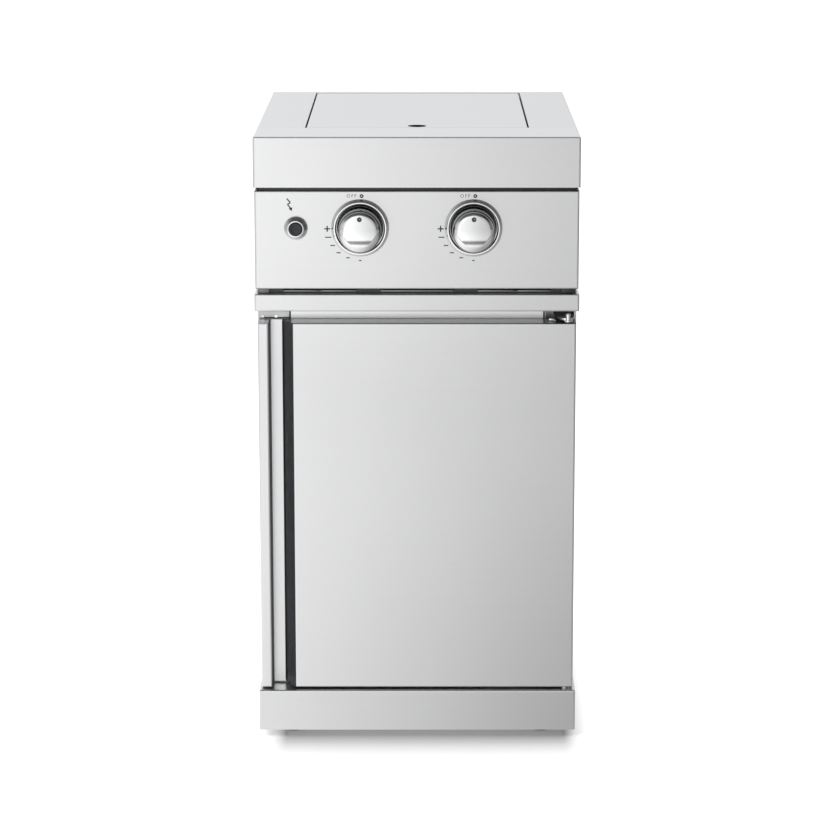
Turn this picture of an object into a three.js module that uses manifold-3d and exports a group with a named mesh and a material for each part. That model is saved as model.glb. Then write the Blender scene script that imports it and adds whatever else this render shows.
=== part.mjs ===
// An outdoor kitchen island module: a stainless steel cabinet with one door, a control panel
// with two gas knobs and an igniter, and two burners under a flush lid in the worktop.
// Lengths are millimetres. X runs to the right, Y to the back and Z up. The origin is on the
// floor, under the middle of the whole module.

import * as THREE from 'three';
import { mergeVertices } from 'three/addons/utils/BufferGeometryUtils.js';
import Module from 'manifold-3d';

// Overall sizes
const islandWidth = 478;
const islandHeight = 914;
const worktopDepth = 600;
const knobProud = 50;

// Sheet metal
const sheet = 1.5;
const bend = 2.6;
const fit = 0.3;
const overrun = 5;

// Heights of the front, from the floor up and from the worktop down
const plinthLift = 11.4;
const plinthHeight = 62.4;
const doorFloorGap = 2.7;
const doorTopGap = 19;
const railHeight = 25.5;
const ventHeight = 8;
const panelHeight = 145.2;
const worktopGap = 5.1;
const fasciaHeight = 74.2;

// Depths of the front
const doorSetback = 6;
const doorThickness = 37;
const doorBackGap = 4;

// Cabinet frame
const stileWidth = 45.6;
const stileDepth = 25;
const headerHeight = 57.5;
const frameJoint = 1.6;
const cornerPlateHeight = 43;

// Plinth bosses and levelling feet
const footInset = 50;
const footPadRadius = 21;
const footPadHeight = 8;
const footPadEdge = 1.5;
const footNeckRadius = 8;
const footStemRadius = 5;
const footHeadroom = 11;
const bossRadius = 11;
const bossLength = 47.8;
const bossRoof = 2.8;

// Back panel
const backVentWidth = 70;
const backVentHeight = 6;
const backVentPitch = 16;
const backVentColumns = 120;
const backVentRows = 6;
const backVentMiddle = 540;
const hoseHoleRadius = 25;
const hoseHoleHeight = 130;
const hoseHoleInset = 89;

// Vent strip over the rail
const ventInset = 6;
const ventSetback = 16;
const ventThickness = 2;
const ventSlotBridge = 35;
const ventSlotHeight = 3.6;
const ventEndMargin = 18.5;
const ventSlotCount = 3;

// Control panel
const panelInset = 1.5;
const panelFlange = 25;
const controlDrop = 54.2;
const knobSpacing = 166;
const igniterSpacing = 94;
const stemHoleRadius = 12;

// Worktop
const frontStripDepth = 111.4;
const hemDepth = 15;
const openingWidth = 334.4;
const backStripDepth = 18;
const rimDepth = 16;
const returnInset = 9;

// Lid
const lidSideGap = 2.2;
const lidFrontGap = 1.1;
const lidBackGap = 4.5;
const lidBend = 2;
const fingerHoleRadius = 13.75;
const fingerHoleBack = 133.5;
const lidPinClearance = 0.5;
const lidRearSkirt = 12;
const lidPinRadius = 2.5;
const lidPinHead = 4;
const lidPinHeadLength = 2;
const lidPinReach = 3.3;

// Burner pan
const panFlangeReach = 20;
const panRim = 15;
const capClearance = 5.5;
const panCorner = 18;

// Grates
const grateThickness = 10;
const grateBar = 9;
const grateFinger = 6;
const grateGap = 0.8;
const grateMargin = 4;
const grateBars = 5;

// Burners
const burnerSpacing = 227;
const burnerFootRadius = 25;
const burnerFootHeight = 4;
const burnerNeckRadius = 17;
const burnerThroat = 8;
const burnerBowlRadius = 46;
const burnerBowlBottom = 47;
const burnerBowlFlare = 12;
const burnerHeight = 69;
const burnerWall = 8;
const burnerSocketDepth = 16.5;
const capHeight = 12;
const capPlug = 3;

// Venturi tubes
const venturiRadius = 11;
const venturiWall = 1.5;
const venturiStart = 60;
const venturiElbow = 22;
const venturiRun = 24;

// Spark electrodes and their leads
const electrodeGap = 12;
const electrodeRadius = 3;
const electrodeCollar = 7;
const electrodeCollarHeight = 4.5;
const electrodeBelow = 11;
const electrodeDrop = 3;
const electrodeTipRadius = 1;
const electrodeTip = 9;
const leadRadius = 2;
const leadDrop = 6;
const leadSpread = 6;

// Gas valves
const valveWidth = 28;
const valveHeight = 32;
const valveFlange = 34;
const valveFlangeThickness = 3;
const valveBack = 44;
const nozzleRadius = 5;
const nozzleLength = 20;
const saddleWidth = 20;
const stemRadius = 4;
const stemRoof = 12.6;
const stemBack = 27;

// Gas manifold
const manifoldRadius = 9;
const manifoldWall = 2;
const saddleHeight = 5;
const manifoldBack = 40;
const manifoldLeftReach = 27;
const manifoldRightReach = 43;
const elbowRadius = 12;
const elbowLength = 26;
const elbowReach = 30;
const elbowBore = 7;
const deckHoleRadius = 16;
const deckHoleBack = 125;

// Knobs and bezels
const bezelCone = 4;
const bezelEdge = 1;
const bezelLipWidth = 2.6;
const bezelLip = 9.6;
const bezelHole = 10;
const knobLift = 4.5;
const knobTravel = 4;
const knobGap = 2.4;
const knobBaseRadius = 33.2;
const knobTaper = 2.2;
const knobRound = 6;
const knobDome = 2.4;
const knobWall = 3;
const knobHubRadius = 9;
const dimpleRadius = 3.4;
const dimpleOffset = 19.5;
const dimpleLift = 1.8;
const collarRadius = 7.5;
const collarLength = 3;

// Igniter
const igniterRadius = 17.5;
const igniterRingRadius = 12.4;
const igniterRing = 14;
const igniterShoulder = 4;
const buttonRadius = 9.9;
const buttonFace = 16.5;
const buttonRound = 1.5;
const buttonBack = 2;
const moduleRadius = 14;
const moduleFlange = 16;
const moduleLength = 56;
const moduleWell = 10;

// Door
const doorInset = 4;
const pullStrip = 15.5;
const pullDraft = 2.1;
const pullBackGap = 0.7;
const pullFloor = 16.7;
const pullSlit = 1.8;
const pullSlant = 16;
const pivotInset = 15.5;
const pivotDepth = 18;
const pivotRadius = 3.5;
const pivotCollar = 7;
const pivotInDoor = 25;
const pivotInPlinth = 8;
const pivotAbove = 11.5;
const tongueLift = 3;
const tongueThickness = 3;
const tongueWidth = 30;
const tongueTip = 8;
const tongueLeg = 12;
const strikeWidth = 50;
const strikeHeight = 20;
const strikeThickness = 2;
const catchWidth = 40;
const catchHeight = 14;
const catchDepth = 26;
const catchInset = 109;

// Facets of round shapes
const bendSteps = 3;
const roundSides = 32;
const castSides = 24;
const smallSides = 12;
const tubeSides = 8;
const tubeStepShare = 1.5;
const leadStepShare = 7;

// Places that follow from the sizes
const halfWidth = islandWidth / 2;
const frontY = (knobProud - worktopDepth) / 2;
const backY = frontY + worktopDepth;
const doorY = frontY + doorSetback;
const doorBackY = doorY + doorThickness;
const frameY = doorBackY + doorBackGap;
const pullDepth = doorThickness - 2 * sheet - fit - pullBackGap;
const plinthTop = plinthLift + plinthHeight;
const bossBottom = plinthTop - bossLength;
const footStemTop = plinthTop - bossRoof - footHeadroom;
const doorBottom = plinthTop + doorFloorGap;
const fasciaBottom = islandHeight - fasciaHeight;
const panelTop = fasciaBottom - worktopGap;
const panelBottom = panelTop - panelHeight;
const controlHeight = panelTop - controlDrop;
const igniterX = -knobSpacing / 2 - igniterSpacing;
const railTop = panelBottom - ventHeight;
const railBottom = railTop - railHeight;
const doorTop = railBottom - doorTopGap;
const panelBackY = backY - sheet - fit;
const sideOuter = halfWidth - sheet - fit;
const sideInner = sideOuter - sheet;
const innerHalf = sideInner - fit;
const deckBottom = railBottom + sheet + fit;
const rimBottom = islandHeight - rimDepth;
const panTop = rimBottom - fit;
const panFloor = panTop - capClearance - capHeight - burnerHeight;
const openingHalf = openingWidth / 2;
const lidHalf = openingHalf - lidSideGap;
const lidFrontY = frontY + frontStripDepth + lidFrontGap;
const openingBackY = backY - backStripDepth;
const lidBackY = openingBackY - lidBackGap;
const lidAxisDrop = sheet + lidPinHead + lidPinClearance;
const lidAxisY = lidBackY - lidAxisDrop;
const lidAxisZ = islandHeight - lidAxisDrop;
const electrodeOffset = burnerBowlRadius + electrodeGap;
const electrodeTop = burnerHeight - electrodeDrop;
const wellHalf = openingHalf - panRim - lidSideGap;
const wellFrontY = lidFrontY + panRim;
const lidRearReach = Math.hypot(lidAxisDrop, lidRearSkirt - lidAxisDrop);
const wellBackY = lidBackY - panRim - lidRearReach;
const wellMiddleY = (wellFrontY + wellBackY) / 2;
const pivotX = halfWidth - pivotInset;
const pivotY = frontY + pivotDepth;
const knobFaceRadius = knobBaseRadius - knobTaper;
const bezelWellRadius = knobBaseRadius + knobGap;
const bezelLipRadius = bezelWellRadius + bezelLipWidth;
const bezelRadius = bezelLipRadius + bezelCone;
const bezelFloorY = frontY - fit - sheet;
const knobBaseY = bezelFloorY - knobLift;
const knobFaceY = frontY - knobProud;
const stemFront = knobProud - knobDome - knobRound - knobWall - stemRoof;
const valveFrontY = frontY + sheet + fit;
const manifoldY = frontY + manifoldBack;
const manifoldLeft = knobSpacing / 2 + manifoldLeftReach;
const manifoldRight = knobSpacing / 2 + manifoldRightReach;
const manifoldZ = controlHeight - valveHeight / 2 - saddleHeight - manifoldRadius;
const knobXs = { left: -knobSpacing / 2, right: knobSpacing / 2 };
const burnerYs = { front: wellMiddleY - burnerSpacing / 2, rear: wellMiddleY + burnerSpacing / 2 };

const wasm = await Module();
wasm.setup();

// Closed solid from a geometry: corners welded, flat triangles dropped, faces turned out.
function solid(geometry) {
  const bare = geometry.clone();
  bare.deleteAttribute('normal');
  bare.deleteAttribute('uv');
  const welded = mergeVertices(bare);
  const corners = welded.attributes.position;
  const index = welded.index.array;
  const points = [new THREE.Vector3(), new THREE.Vector3(), new THREE.Vector3()];
  const faces = [];
  let volume = 0;
  for (let i = 0; i < index.length; i += 3) {
    const face = [index[i], index[i + 1], index[i + 2]];
    if (new Set(face).size === face.length) {
      faces.push(face);
      face.forEach((corner, k) => points[k].fromBufferAttribute(corners, corner));
      volume += points[0].dot(points[1].clone().cross(points[2]));
    }
  }
  const outward = volume < 0 ? faces.map(([a, b, c]) => [a, c, b]) : faces;
  const triVerts = new Uint32Array(outward.flat());
  const vertProperties = new Float32Array(corners.array);
  return new wasm.Manifold(new wasm.Mesh({ numProp: 3, vertProperties, triVerts }));
}

function geometryOf(body) {
  const mesh = body.getMesh();
  const geometry = new THREE.BufferGeometry();
  const places = mesh.vertProperties.slice();
  geometry.setAttribute('position', new THREE.BufferAttribute(places, mesh.numProp));
  geometry.setIndex(new THREE.BufferAttribute(mesh.triVerts.slice(), 1));
  geometry.computeVertexNormals();
  return geometry;
}

const join = (first, ...others) => others.reduce((body, other) => body.add(other), first);
const cut = (first, ...tools) => tools.reduce((body, tool) => body.subtract(tool), first);

function block(x0, x1, y0, y1, z0, z1) {
  const box = new THREE.BoxGeometry(Math.abs(x1 - x0), Math.abs(y1 - y0), Math.abs(z1 - z0));
  box.translate((x0 + x1) / 2, (y0 + y1) / 2, (z0 + z1) / 2);
  return solid(box);
}

const point = (u, v) => new THREE.Vector2(u, v);

// Outline through the points, with an arc of the given radius in place of each corner.
function rounded(points, radii, closed) {
  const result = [];
  points.forEach((corner, i) => {
    const isEnd = !closed && (i === 0 || i === points.length - 1);
    if (isEnd || radii[i] === 0) {
      result.push(corner);
      return;
    }
    const before = points[(i + points.length - 1) % points.length].clone().sub(corner).normalize();
    const after = points[(i + 1) % points.length].clone().sub(corner).normalize();
    const half = Math.acos(before.dot(after)) / 2;
    const middle = before.clone().add(after).normalize();
    const centre = corner.clone().addScaledVector(middle, radii[i] / Math.sin(half));
    const start = corner.clone().addScaledVector(before, radii[i] / Math.tan(half)).sub(centre);
    const sweep = Math.PI - 2 * half;
    const turn = before.cross(after) > 0 ? -1 : 1;
    for (let step = 0; step <= bendSteps; step += 1) {
      const angle = turn * sweep * (step / bendSteps);
      result.push(start.clone().rotateAround(point(0, 0), angle).add(centre));
    }
  });
  return result;
}

// Rectangle outline; radii run low-low, high-low, high-high, low-high.
function panel(u0, v0, u1, v1, radii = [0, 0, 0, 0]) {
  return rounded([point(u0, v0), point(u1, v0), point(u1, v1), point(u0, v1)], radii, true);
}

function circle(u, v, radius, sides = roundSides) {
  const turnShares = Array.from({ length: sides }, (_, i) => (i + 1 / 2) / sides);
  return turnShares.map((share) => {
    const angle = 2 * Math.PI * share;
    return point(u + radius * Math.cos(angle), v + radius * Math.sin(angle));
  });
}

// Round hole whose flats keep the given radius clear.
function bore(u, v, radius, sides = smallSides) {
  return circle(u, v, radius / Math.cos(Math.PI / sides), sides);
}

// Outline of a folded sheet: the path is its outer face and the thickness lies to its left.
function folded(path, thickness) {
  const normals = path.slice(1).map((end, i) => {
    const along = end.clone().sub(path[i]).normalize();
    return point(-along.y, along.x);
  });
  const inner = path.map((corner, i) => {
    const first = normals[Math.max(i - 1, 0)];
    const second = normals[Math.min(i, normals.length - 1)];
    const mitre = first.clone().add(second).divideScalar(1 + first.dot(second));
    return corner.clone().addScaledVector(mitre, thickness);
  });
  return [...path, ...inner.reverse()];
}

// Prisms along each axis. Outlines are (x, y) along Z, (x, z) along Y and (y, z) along X.
const prismAxes = {
  x: [[0, 1, 0], [0, 0, 1], [1, 0, 0]],
  y: [[1, 0, 0], [0, 0, 1], [0, -1, 0]],
  z: [[1, 0, 0], [0, 1, 0], [0, 0, 1]],
};

function prism(axis, outline, low, high) {
  const shape = new THREE.Shape(outline);
  const body = new THREE.ExtrudeGeometry(shape, { depth: high - low, bevelEnabled: false });
  const basis = prismAxes[axis].map((direction) => new THREE.Vector3(...direction));
  body.applyMatrix4(new THREE.Matrix4().makeBasis(...basis));
  const start = axis === 'y' ? high : low;
  body.translate(axis === 'x' ? start : 0, axis === 'y' ? start : 0, axis === 'z' ? start : 0);
  return solid(body);
}

// Turned piece: the profile's pairs are a radius and a place along the axis.
function turned(axis, profile, x, y, z, sides = roundSides) {
  const outline = profile.map(([radius, place]) => point(radius, place));
  const body = new THREE.LatheGeometry(outline, sides);
  if (axis === 'z') body.rotateX(Math.PI / 2);
  if (axis === 'x') body.rotateZ(-Math.PI / 2);
  body.translate(x, y, z);
  return solid(body);
}

const loop = (profile) => [...profile, profile[0]];

// Box with rounded edges: the intersection of its three rounded views.
function roundedBlock([x0, x1], [y0, y1], [z0, z1], { plan, front, side }) {
  const views = [];
  if (plan) views.push(prism('z', panel(x0, y0, x1, y1, plan), z0, z1));
  if (front) views.push(prism('y', panel(x0, z0, x1, z1, front), y0, y1));
  if (side) views.push(prism('x', panel(y0, z0, y1, z1, side), x0, x1));
  return views.reduce((body, view) => body.intersect(view));
}

const finishes = {
  brushed: { color: 0xd9dadc, roughness: 0.34, metalness: 1 },
  polished: { color: 0xe8e8ea, roughness: 0.08, metalness: 1 },
  plated: { color: 0xc4c6c8, roughness: 0.4, metalness: 1 },
  castIron: { color: 0x1c1c1d, roughness: 0.75, metalness: 0.3 },
  brass: { color: 0xb8934a, roughness: 0.35, metalness: 1 },
  ceramic: { color: 0xe9e6de, roughness: 0.5, metalness: 0 },
  blackPlastic: { color: 0x202022, roughness: 0.45, metalness: 0 },
  rubber: { color: 0x1a1a1a, roughness: 0.9, metalness: 0 },
};

const island = new THREE.Group();
island.name = 'outdoor_kitchen_island';

function place(name, body, finish) {
  const mesh = new THREE.Mesh(geometryOf(body), new THREE.MeshStandardMaterial(finishes[finish]));
  mesh.name = name;
  island.add(mesh);
}

// Plinth: a folded tray, open below, with a threaded boss for each foot
const footXs = { left: footInset - halfWidth, right: halfWidth - footInset };
const footYs = { front: frontY + footInset, rear: panelBackY - footInset };

function plinth() {
  const outer = roundedBlock([-halfWidth, halfWidth], [frontY, panelBackY], [plinthLift, plinthTop], {
    plan: [bend, bend, bend, bend],
    front: [0, 0, bend, bend],
    side: [0, 0, bend, bend],
  });
  const hollow = block(sheet - halfWidth, halfWidth - sheet, frontY + sheet, panelBackY - sheet,
    plinthLift - overrun, plinthTop - sheet);
  let tray = cut(outer, hollow);
  for (const x of Object.values(footXs)) {
    for (const y of Object.values(footYs)) {
      const boss = prism('z', circle(x, y, bossRadius, smallSides), bossBottom, plinthTop - sheet / 2);
      const thread = prism('z', bore(x, y, footStemRadius + fit), bossBottom - overrun, plinthTop - bossRoof);
      tray = cut(join(tray, boss), thread);
    }
  }
  const pivotHole = prism('z', bore(pivotX, pivotY, pivotRadius + fit),
    plinthTop - sheet - overrun, plinthTop + overrun);
  return cut(tray, pivotHole);
}

place('plinth', plinth(), 'brushed');

// Levelling feet: a pad, a neck that stops under the boss, and a threaded stem
const footProfile = [
  [0, 0],
  [footPadRadius - footPadEdge, 0],
  [footPadRadius, footPadEdge],
  [footPadRadius, footPadHeight - footPadEdge],
  [footPadRadius - footPadEdge, footPadHeight],
  [footNeckRadius, footPadHeight + footPadEdge],
  [footNeckRadius, bossBottom - fit],
  [footStemRadius, bossBottom - fit],
  [footStemRadius, footStemTop],
  [0, footStemTop],
];

for (const [row, y] of Object.entries(footYs)) {
  for (const [side, x] of Object.entries(footXs)) {
    place(`foot_${row}_${side}`, turned('z', footProfile, x, y, 0, smallSides), 'rubber');
  }
}

// Cabinet carcass
const frameFrontY = frameY + fit;
const innerBackY = panelBackY - sheet - fit;
const floorTop = plinthTop + fit + sheet;
const frameTop = deckBottom - fit;
const stileInner = innerHalf - stileWidth;
const cornerTop = railBottom - fit;
const cornerBottom = cornerTop - cornerPlateHeight;

for (const [name, side] of [['left', -1], ['right', 1]]) {
  const skin = block(side * sideInner, side * sideOuter, frameFrontY, panelBackY,
    plinthTop + fit, islandHeight - sheet - fit);
  place(`side_panel_${name}`, skin, 'brushed');
}

function backPanel() {
  let skin = block(-innerHalf, innerHalf, panelBackY - sheet, panelBackY, plinthTop + fit, panTop);
  for (const side of [-1, 1]) {
    for (let row = 0; row < backVentRows; row += 1) {
      const x = side * backVentColumns / 2;
      const z = backVentMiddle + (row - (backVentRows - 1) / 2) * backVentPitch;
      const slot = block(x - backVentWidth / 2, x + backVentWidth / 2, panelBackY - sheet - overrun,
        panelBackY + overrun, z - backVentHeight / 2, z + backVentHeight / 2);
      skin = cut(skin, slot);
    }
  }
  const hoseHole = prism('y', bore(halfWidth - hoseHoleInset, hoseHoleHeight, hoseHoleRadius),
    panelBackY - sheet - overrun, panelBackY + overrun);
  return cut(skin, hoseHole);
}

place('back_panel', backPanel(), 'brushed');
place('cabinet_floor', block(-innerHalf, innerHalf, frameFrontY, innerBackY, plinthTop + fit, floorTop),
  'brushed');

// Front frame of box section: two stiles and a header behind the door's top. The right
// stile is open in front at its top, where the hinge tongue reaches in.
for (const [name, side] of [['left', -1], ['right', 1]]) {
  const low = Math.min(side * innerHalf, side * stileInner);
  const tube = block(low, low + stileWidth, frameFrontY, frameFrontY + stileDepth, floorTop + fit, frameTop);
  const hollow = block(low + sheet, low + stileWidth - sheet, frameFrontY + sheet,
    frameFrontY + stileDepth - sheet, floorTop - overrun, frameTop + overrun);
  const pocket = block(low + sheet, low + stileWidth - sheet, frameFrontY - overrun,
    frameFrontY + stileDepth / 2, cornerBottom, frameTop + overrun);
  place(`stile_${name}`, side < 0 ? cut(tube, hollow) : cut(tube, hollow, pocket), 'brushed');
}

const headerHalf = stileInner - frameJoint;
const headerTube = block(-headerHalf, headerHalf, frameFrontY, frameFrontY + stileDepth,
  frameTop - headerHeight, frameTop);
const headerBore = block(-headerHalf - overrun, headerHalf + overrun, frameFrontY + sheet,
  frameFrontY + stileDepth - sheet, frameTop - headerHeight + sheet, frameTop - sheet);
place('header', cut(headerTube, headerBore), 'brushed');
place('corner_plate_left', block(-innerHalf, -stileInner, frameY - sheet, frameY, cornerBottom, cornerTop),
  'brushed');

// Deck between the cabinet and the burner space, with a hole for the gas hose
const elbowX = manifoldRight + fit + elbowLength / 2;
const deck = block(-innerHalf, innerHalf, frontY + sheet + fit, innerBackY, deckBottom, deckBottom + sheet);
const deckHole = prism('z', bore(elbowX, frontY + deckHoleBack, deckHoleRadius),
  deckBottom - overrun, deckBottom + sheet + overrun);
place('deck_shield', cut(deck, deckHole), 'brushed');

// Projecting rail: a folded channel, open behind
const railOuter = roundedBlock([-halfWidth, halfWidth], [frontY, frameY], [railBottom, railTop], {
  plan: [bend, bend, 0, 0],
  side: [bend, 0, 0, bend],
});
const railHollow = block(sheet - halfWidth, halfWidth - sheet, frontY + sheet, frameY + overrun,
  railBottom + sheet, railTop - sheet);
place('front_rail', cut(railOuter, railHollow), 'brushed');

function ventStrip() {
  const half = halfWidth - ventInset;
  const y0 = frontY + ventSetback;
  const pitch = (2 * (half - ventEndMargin)) / ventSlotCount;
  const slotWidth = pitch - ventSlotBridge;
  let strip = block(-half, half, y0, y0 + ventThickness, railTop + fit, panelBottom - fit);
  for (let i = 0; i < ventSlotCount; i += 1) {
    const x = (i - (ventSlotCount - 1) / 2) * pitch;
    const z = (railTop + panelBottom) / 2;
    strip = cut(strip, block(x - slotWidth / 2, x + slotWidth / 2, y0 - overrun,
      y0 + ventThickness + overrun, z - ventSlotHeight / 2, z + ventSlotHeight / 2));
  }
  return strip;
}

place('vent_strip', ventStrip(), 'brushed');

// Control panel: a folded face with side returns and short top and bottom flanges
function controlPanel() {
  const half = halfWidth - panelInset;
  const outer = roundedBlock([-half, half], [frontY, frameY], [panelBottom, panelTop], {
    plan: [bend, bend, 0, 0],
    side: [bend, 0, 0, bend],
  });
  const hollow = block(sheet - half, half - sheet, frontY + sheet, frameY + overrun,
    panelBottom + sheet, panelTop - sheet);
  const behindFlanges = block(sheet - half, half - sheet, frontY + panelFlange, frameY + overrun,
    panelBottom - overrun, panelTop + overrun);
  const opening = (x, radius) => prism('y', bore(x, controlHeight, radius),
    frontY - overrun, frontY + sheet + overrun);
  return cut(outer, hollow, behindFlanges, opening(knobXs.left, stemHoleRadius),
    opening(knobXs.right, stemHoleRadius), opening(igniterX, buttonRadius + fit));
}

place('control_panel', controlPanel(), 'brushed');

// Worktop strips round the lid opening
function worktopFront() {
  const stripBackY = frontY + frontStripDepth;
  const outer = roundedBlock([-halfWidth, halfWidth], [frontY, stripBackY], [fasciaBottom, islandHeight], {
    plan: [bend, bend, 0, 0],
    front: [0, 0, bend, bend],
    side: [0, 0, 0, bend],
  });
  const hollow = block(sheet - halfWidth, halfWidth - sheet, frontY + sheet, stripBackY + overrun,
    fasciaBottom - overrun, islandHeight - sheet);
  const half = sideInner - returnInset;
  const hem = block(-half, half, frontY + sheet / 2, frontY + hemDepth, fasciaBottom, fasciaBottom + sheet);
  const rim = block(-half, half, stripBackY - sheet, stripBackY, rimBottom, islandHeight - sheet / 2);
  return join(cut(outer, hollow), hem, rim);
}

const stripFrontY = frontY + frontStripDepth + fit;

function worktopSide(side) {
  const [low, high] = side < 0 ? [-halfWidth, -openingHalf] : [openingHalf, halfWidth];
  const lowCorner = side < 0 ? bend : 0;
  const highCorner = side < 0 ? 0 : bend;
  const outer = roundedBlock([low, high], [stripFrontY, backY], [fasciaBottom, islandHeight], {
    plan: [0, 0, highCorner, lowCorner],
    front: [0, 0, highCorner, lowCorner],
    side: [0, 0, bend, 0],
  });
  const hollow = block(low + sheet, high - sheet, stripFrontY - overrun, backY - sheet,
    fasciaBottom - overrun, islandHeight - sheet);
  const innerLeg = block(side * (openingHalf - overrun), side * (openingHalf + sheet + fit),
    stripFrontY - overrun, openingBackY, fasciaBottom - overrun, rimBottom);
  const rearLeg = block(side * (openingHalf - overrun), side * (openingHalf + sheet + fit),
    openingBackY - overrun, backY - sheet, fasciaBottom - overrun, rimBottom);
  const pinHole = prism('x', bore(lidAxisY, lidAxisZ, lidPinRadius + fit),
    side * openingHalf - overrun, side * openingHalf + overrun);
  return cut(outer, hollow, innerLeg, rearLeg, pinHole);
}

function worktopBack() {
  const half = openingHalf - fit;
  const outer = roundedBlock([-half, half], [openingBackY, backY], [fasciaBottom, islandHeight], {
    side: [0, 0, bend, 0],
  });
  const hollow = block(-half - overrun, half + overrun, openingBackY + sheet, backY - sheet,
    fasciaBottom - overrun, islandHeight - sheet);
  const frontLeg = block(-half - overrun, half + overrun, openingBackY - overrun,
    openingBackY + sheet + fit, fasciaBottom - overrun, rimBottom);
  return cut(outer, hollow, frontLeg);
}

place('worktop_front', worktopFront(), 'brushed');
place('worktop_left', worktopSide(-1), 'brushed');
place('worktop_right', worktopSide(1), 'brushed');
place('worktop_back', worktopBack(), 'brushed');

// Burner pan: a deep tray whose flange hangs under the rims of the opening
function burnerPan() {
  const flangeHalf = openingHalf + panFlangeReach;
  const flangeBackY = Math.min(openingBackY + panFlangeReach, innerBackY);
  const flange = block(-flangeHalf, flangeHalf, stripFrontY - panFlangeReach, flangeBackY,
    panTop - sheet, panTop);
  const corners = [panCorner, panCorner, panCorner, panCorner];
  const innerCorners = corners.map((radius) => radius - sheet);
  const well = prism('z', panel(-wellHalf, wellFrontY, wellHalf, wellBackY, corners),
    panFloor - sheet, panTop);
  const hollow = prism('z', panel(sheet - wellHalf, wellFrontY + sheet, wellHalf - sheet,
    wellBackY - sheet, innerCorners), panFloor, panTop + overrun);
  const holes = Object.values(burnerYs).flatMap((y) => [
    prism('z', bore(0, y, venturiRadius + fit), panFloor - sheet - overrun, panFloor + overrun),
    prism('z', bore(-electrodeOffset, y, electrodeRadius + fit), panFloor - sheet - overrun,
      panFloor + overrun),
  ]);
  return cut(join(flange, well), hollow, ...holes);
}

place('burner_pan', burnerPan(), 'brushed');

// Lid: a shallow folded pan with a finger hole, hung on two pins at its back edge
function lid() {
  const outer = roundedBlock([-lidHalf, lidHalf], [lidFrontY, lidBackY], [rimBottom, islandHeight], {
    plan: [lidBend, lidBend, lidBend, lidBend],
    front: [0, 0, lidBend, lidBend],
    side: [0, 0, lidBend, lidBend],
  });
  const hollow = block(sheet - lidHalf, lidHalf - sheet, lidFrontY + sheet, lidBackY - sheet,
    rimBottom - overrun, islandHeight - sheet);
  const fingerHole = prism('z', bore(0, frontY + fingerHoleBack, fingerHoleRadius, roundSides),
    islandHeight - sheet - overrun, islandHeight + overrun);
  const rearRelief = block(-lidHalf - overrun, lidHalf + overrun, lidAxisY, lidBackY + overrun,
    rimBottom - overrun, islandHeight - lidRearSkirt);
  const pinHoles = prism('x', bore(lidAxisY, lidAxisZ, lidPinRadius + fit),
    -lidHalf - overrun, lidHalf + overrun);
  return cut(outer, hollow, fingerHole, rearRelief, pinHoles);
}

place('lid', lid(), 'brushed');

const pinHeadStart = lidHalf - sheet - fit - lidPinHeadLength;
const lidPinProfile = [
  [0, pinHeadStart],
  [lidPinHead, pinHeadStart],
  [lidPinHead, pinHeadStart + lidPinHeadLength],
  [lidPinRadius, pinHeadStart + lidPinHeadLength],
  [lidPinRadius, openingHalf + sheet + lidPinReach],
  [0, openingHalf + sheet + lidPinReach],
];

for (const [name, side] of [['left', -1], ['right', 1]]) {
  const profile = lidPinProfile.map(([radius, x]) => [radius, side * x]);
  place(`lid_pin_${name}`, turned('x', profile, 0, lidAxisY, lidAxisZ, smallSides), 'plated');
}

// Cast iron grates: a frame, bars from front to back and one bar across
function grate(y0, y1) {
  const half = lidHalf - sheet - grateMargin - panRim / 2;
  const z0 = panTop + fit;
  const middle = (y0 + y1) / 2;
  const gapWidth = (2 * half - 2 * grateBar - grateBars * grateFinger) / (grateBars + 1);
  const low = z0 - overrun;
  const high = z0 + grateThickness + overrun;
  const gaps = Array.from({ length: grateBars + 1 }, (_, i) => {
    const x = grateBar - half + i * (gapWidth + grateFinger);
    return [
      block(x, x + gapWidth, y0 + grateBar, middle - grateFinger / 2, low, high),
      block(x, x + gapWidth, middle + grateFinger / 2, y1 - grateBar, low, high),
    ];
  });
  return cut(block(-half, half, y0, y1, z0, z0 + grateThickness), ...gaps.flat());
}

place('grate_front', grate(lidFrontY + sheet + grateMargin, wellMiddleY - grateGap / 2), 'castIron');
place('grate_rear', grate(wellMiddleY + grateGap / 2, lidAxisY - lidRearReach - grateMargin), 'castIron');

// Burners: a cast bowl on a hollow neck, and its loose cap
const socketRadius = venturiRadius + fit;
const burnerProfile = loop([
  [socketRadius, 0],
  [burnerFootRadius, 0],
  [burnerFootRadius, burnerFootHeight],
  [burnerNeckRadius, burnerFootHeight + burnerWall / 2],
  [burnerNeckRadius, burnerBowlBottom],
  [burnerBowlRadius, burnerBowlBottom + burnerBowlFlare],
  [burnerBowlRadius, burnerHeight],
  [burnerBowlRadius - burnerWall, burnerHeight],
  [burnerBowlRadius - burnerWall, burnerBowlBottom + burnerBowlFlare + burnerWall / 2],
  [burnerThroat, burnerBowlBottom + burnerWall / 2],
  [burnerThroat, burnerSocketDepth],
  [socketRadius, burnerSocketDepth],
]);

const plugRadius = burnerBowlRadius - burnerWall - fit;
const capRadius = burnerBowlRadius - burnerWall / 2;
const capProfile = [
  [0, burnerHeight - capPlug],
  [plugRadius, burnerHeight - capPlug],
  [plugRadius, burnerHeight + fit],
  [capRadius, burnerHeight + fit],
  [capRadius, burnerHeight + fit + capHeight / 2],
  [capRadius - capHeight / 2, burnerHeight + capHeight],
  [0, burnerHeight + capHeight],
];

for (const [row, y] of Object.entries(burnerYs)) {
  const seatZ = panFloor + fit;
  place(`burner_${row}`, turned('z', burnerProfile, 0, y, seatZ, castSides), 'castIron');
  place(`burner_cap_${row}`, turned('z', capProfile, 0, y, seatZ, castSides), 'castIron');
}

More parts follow.
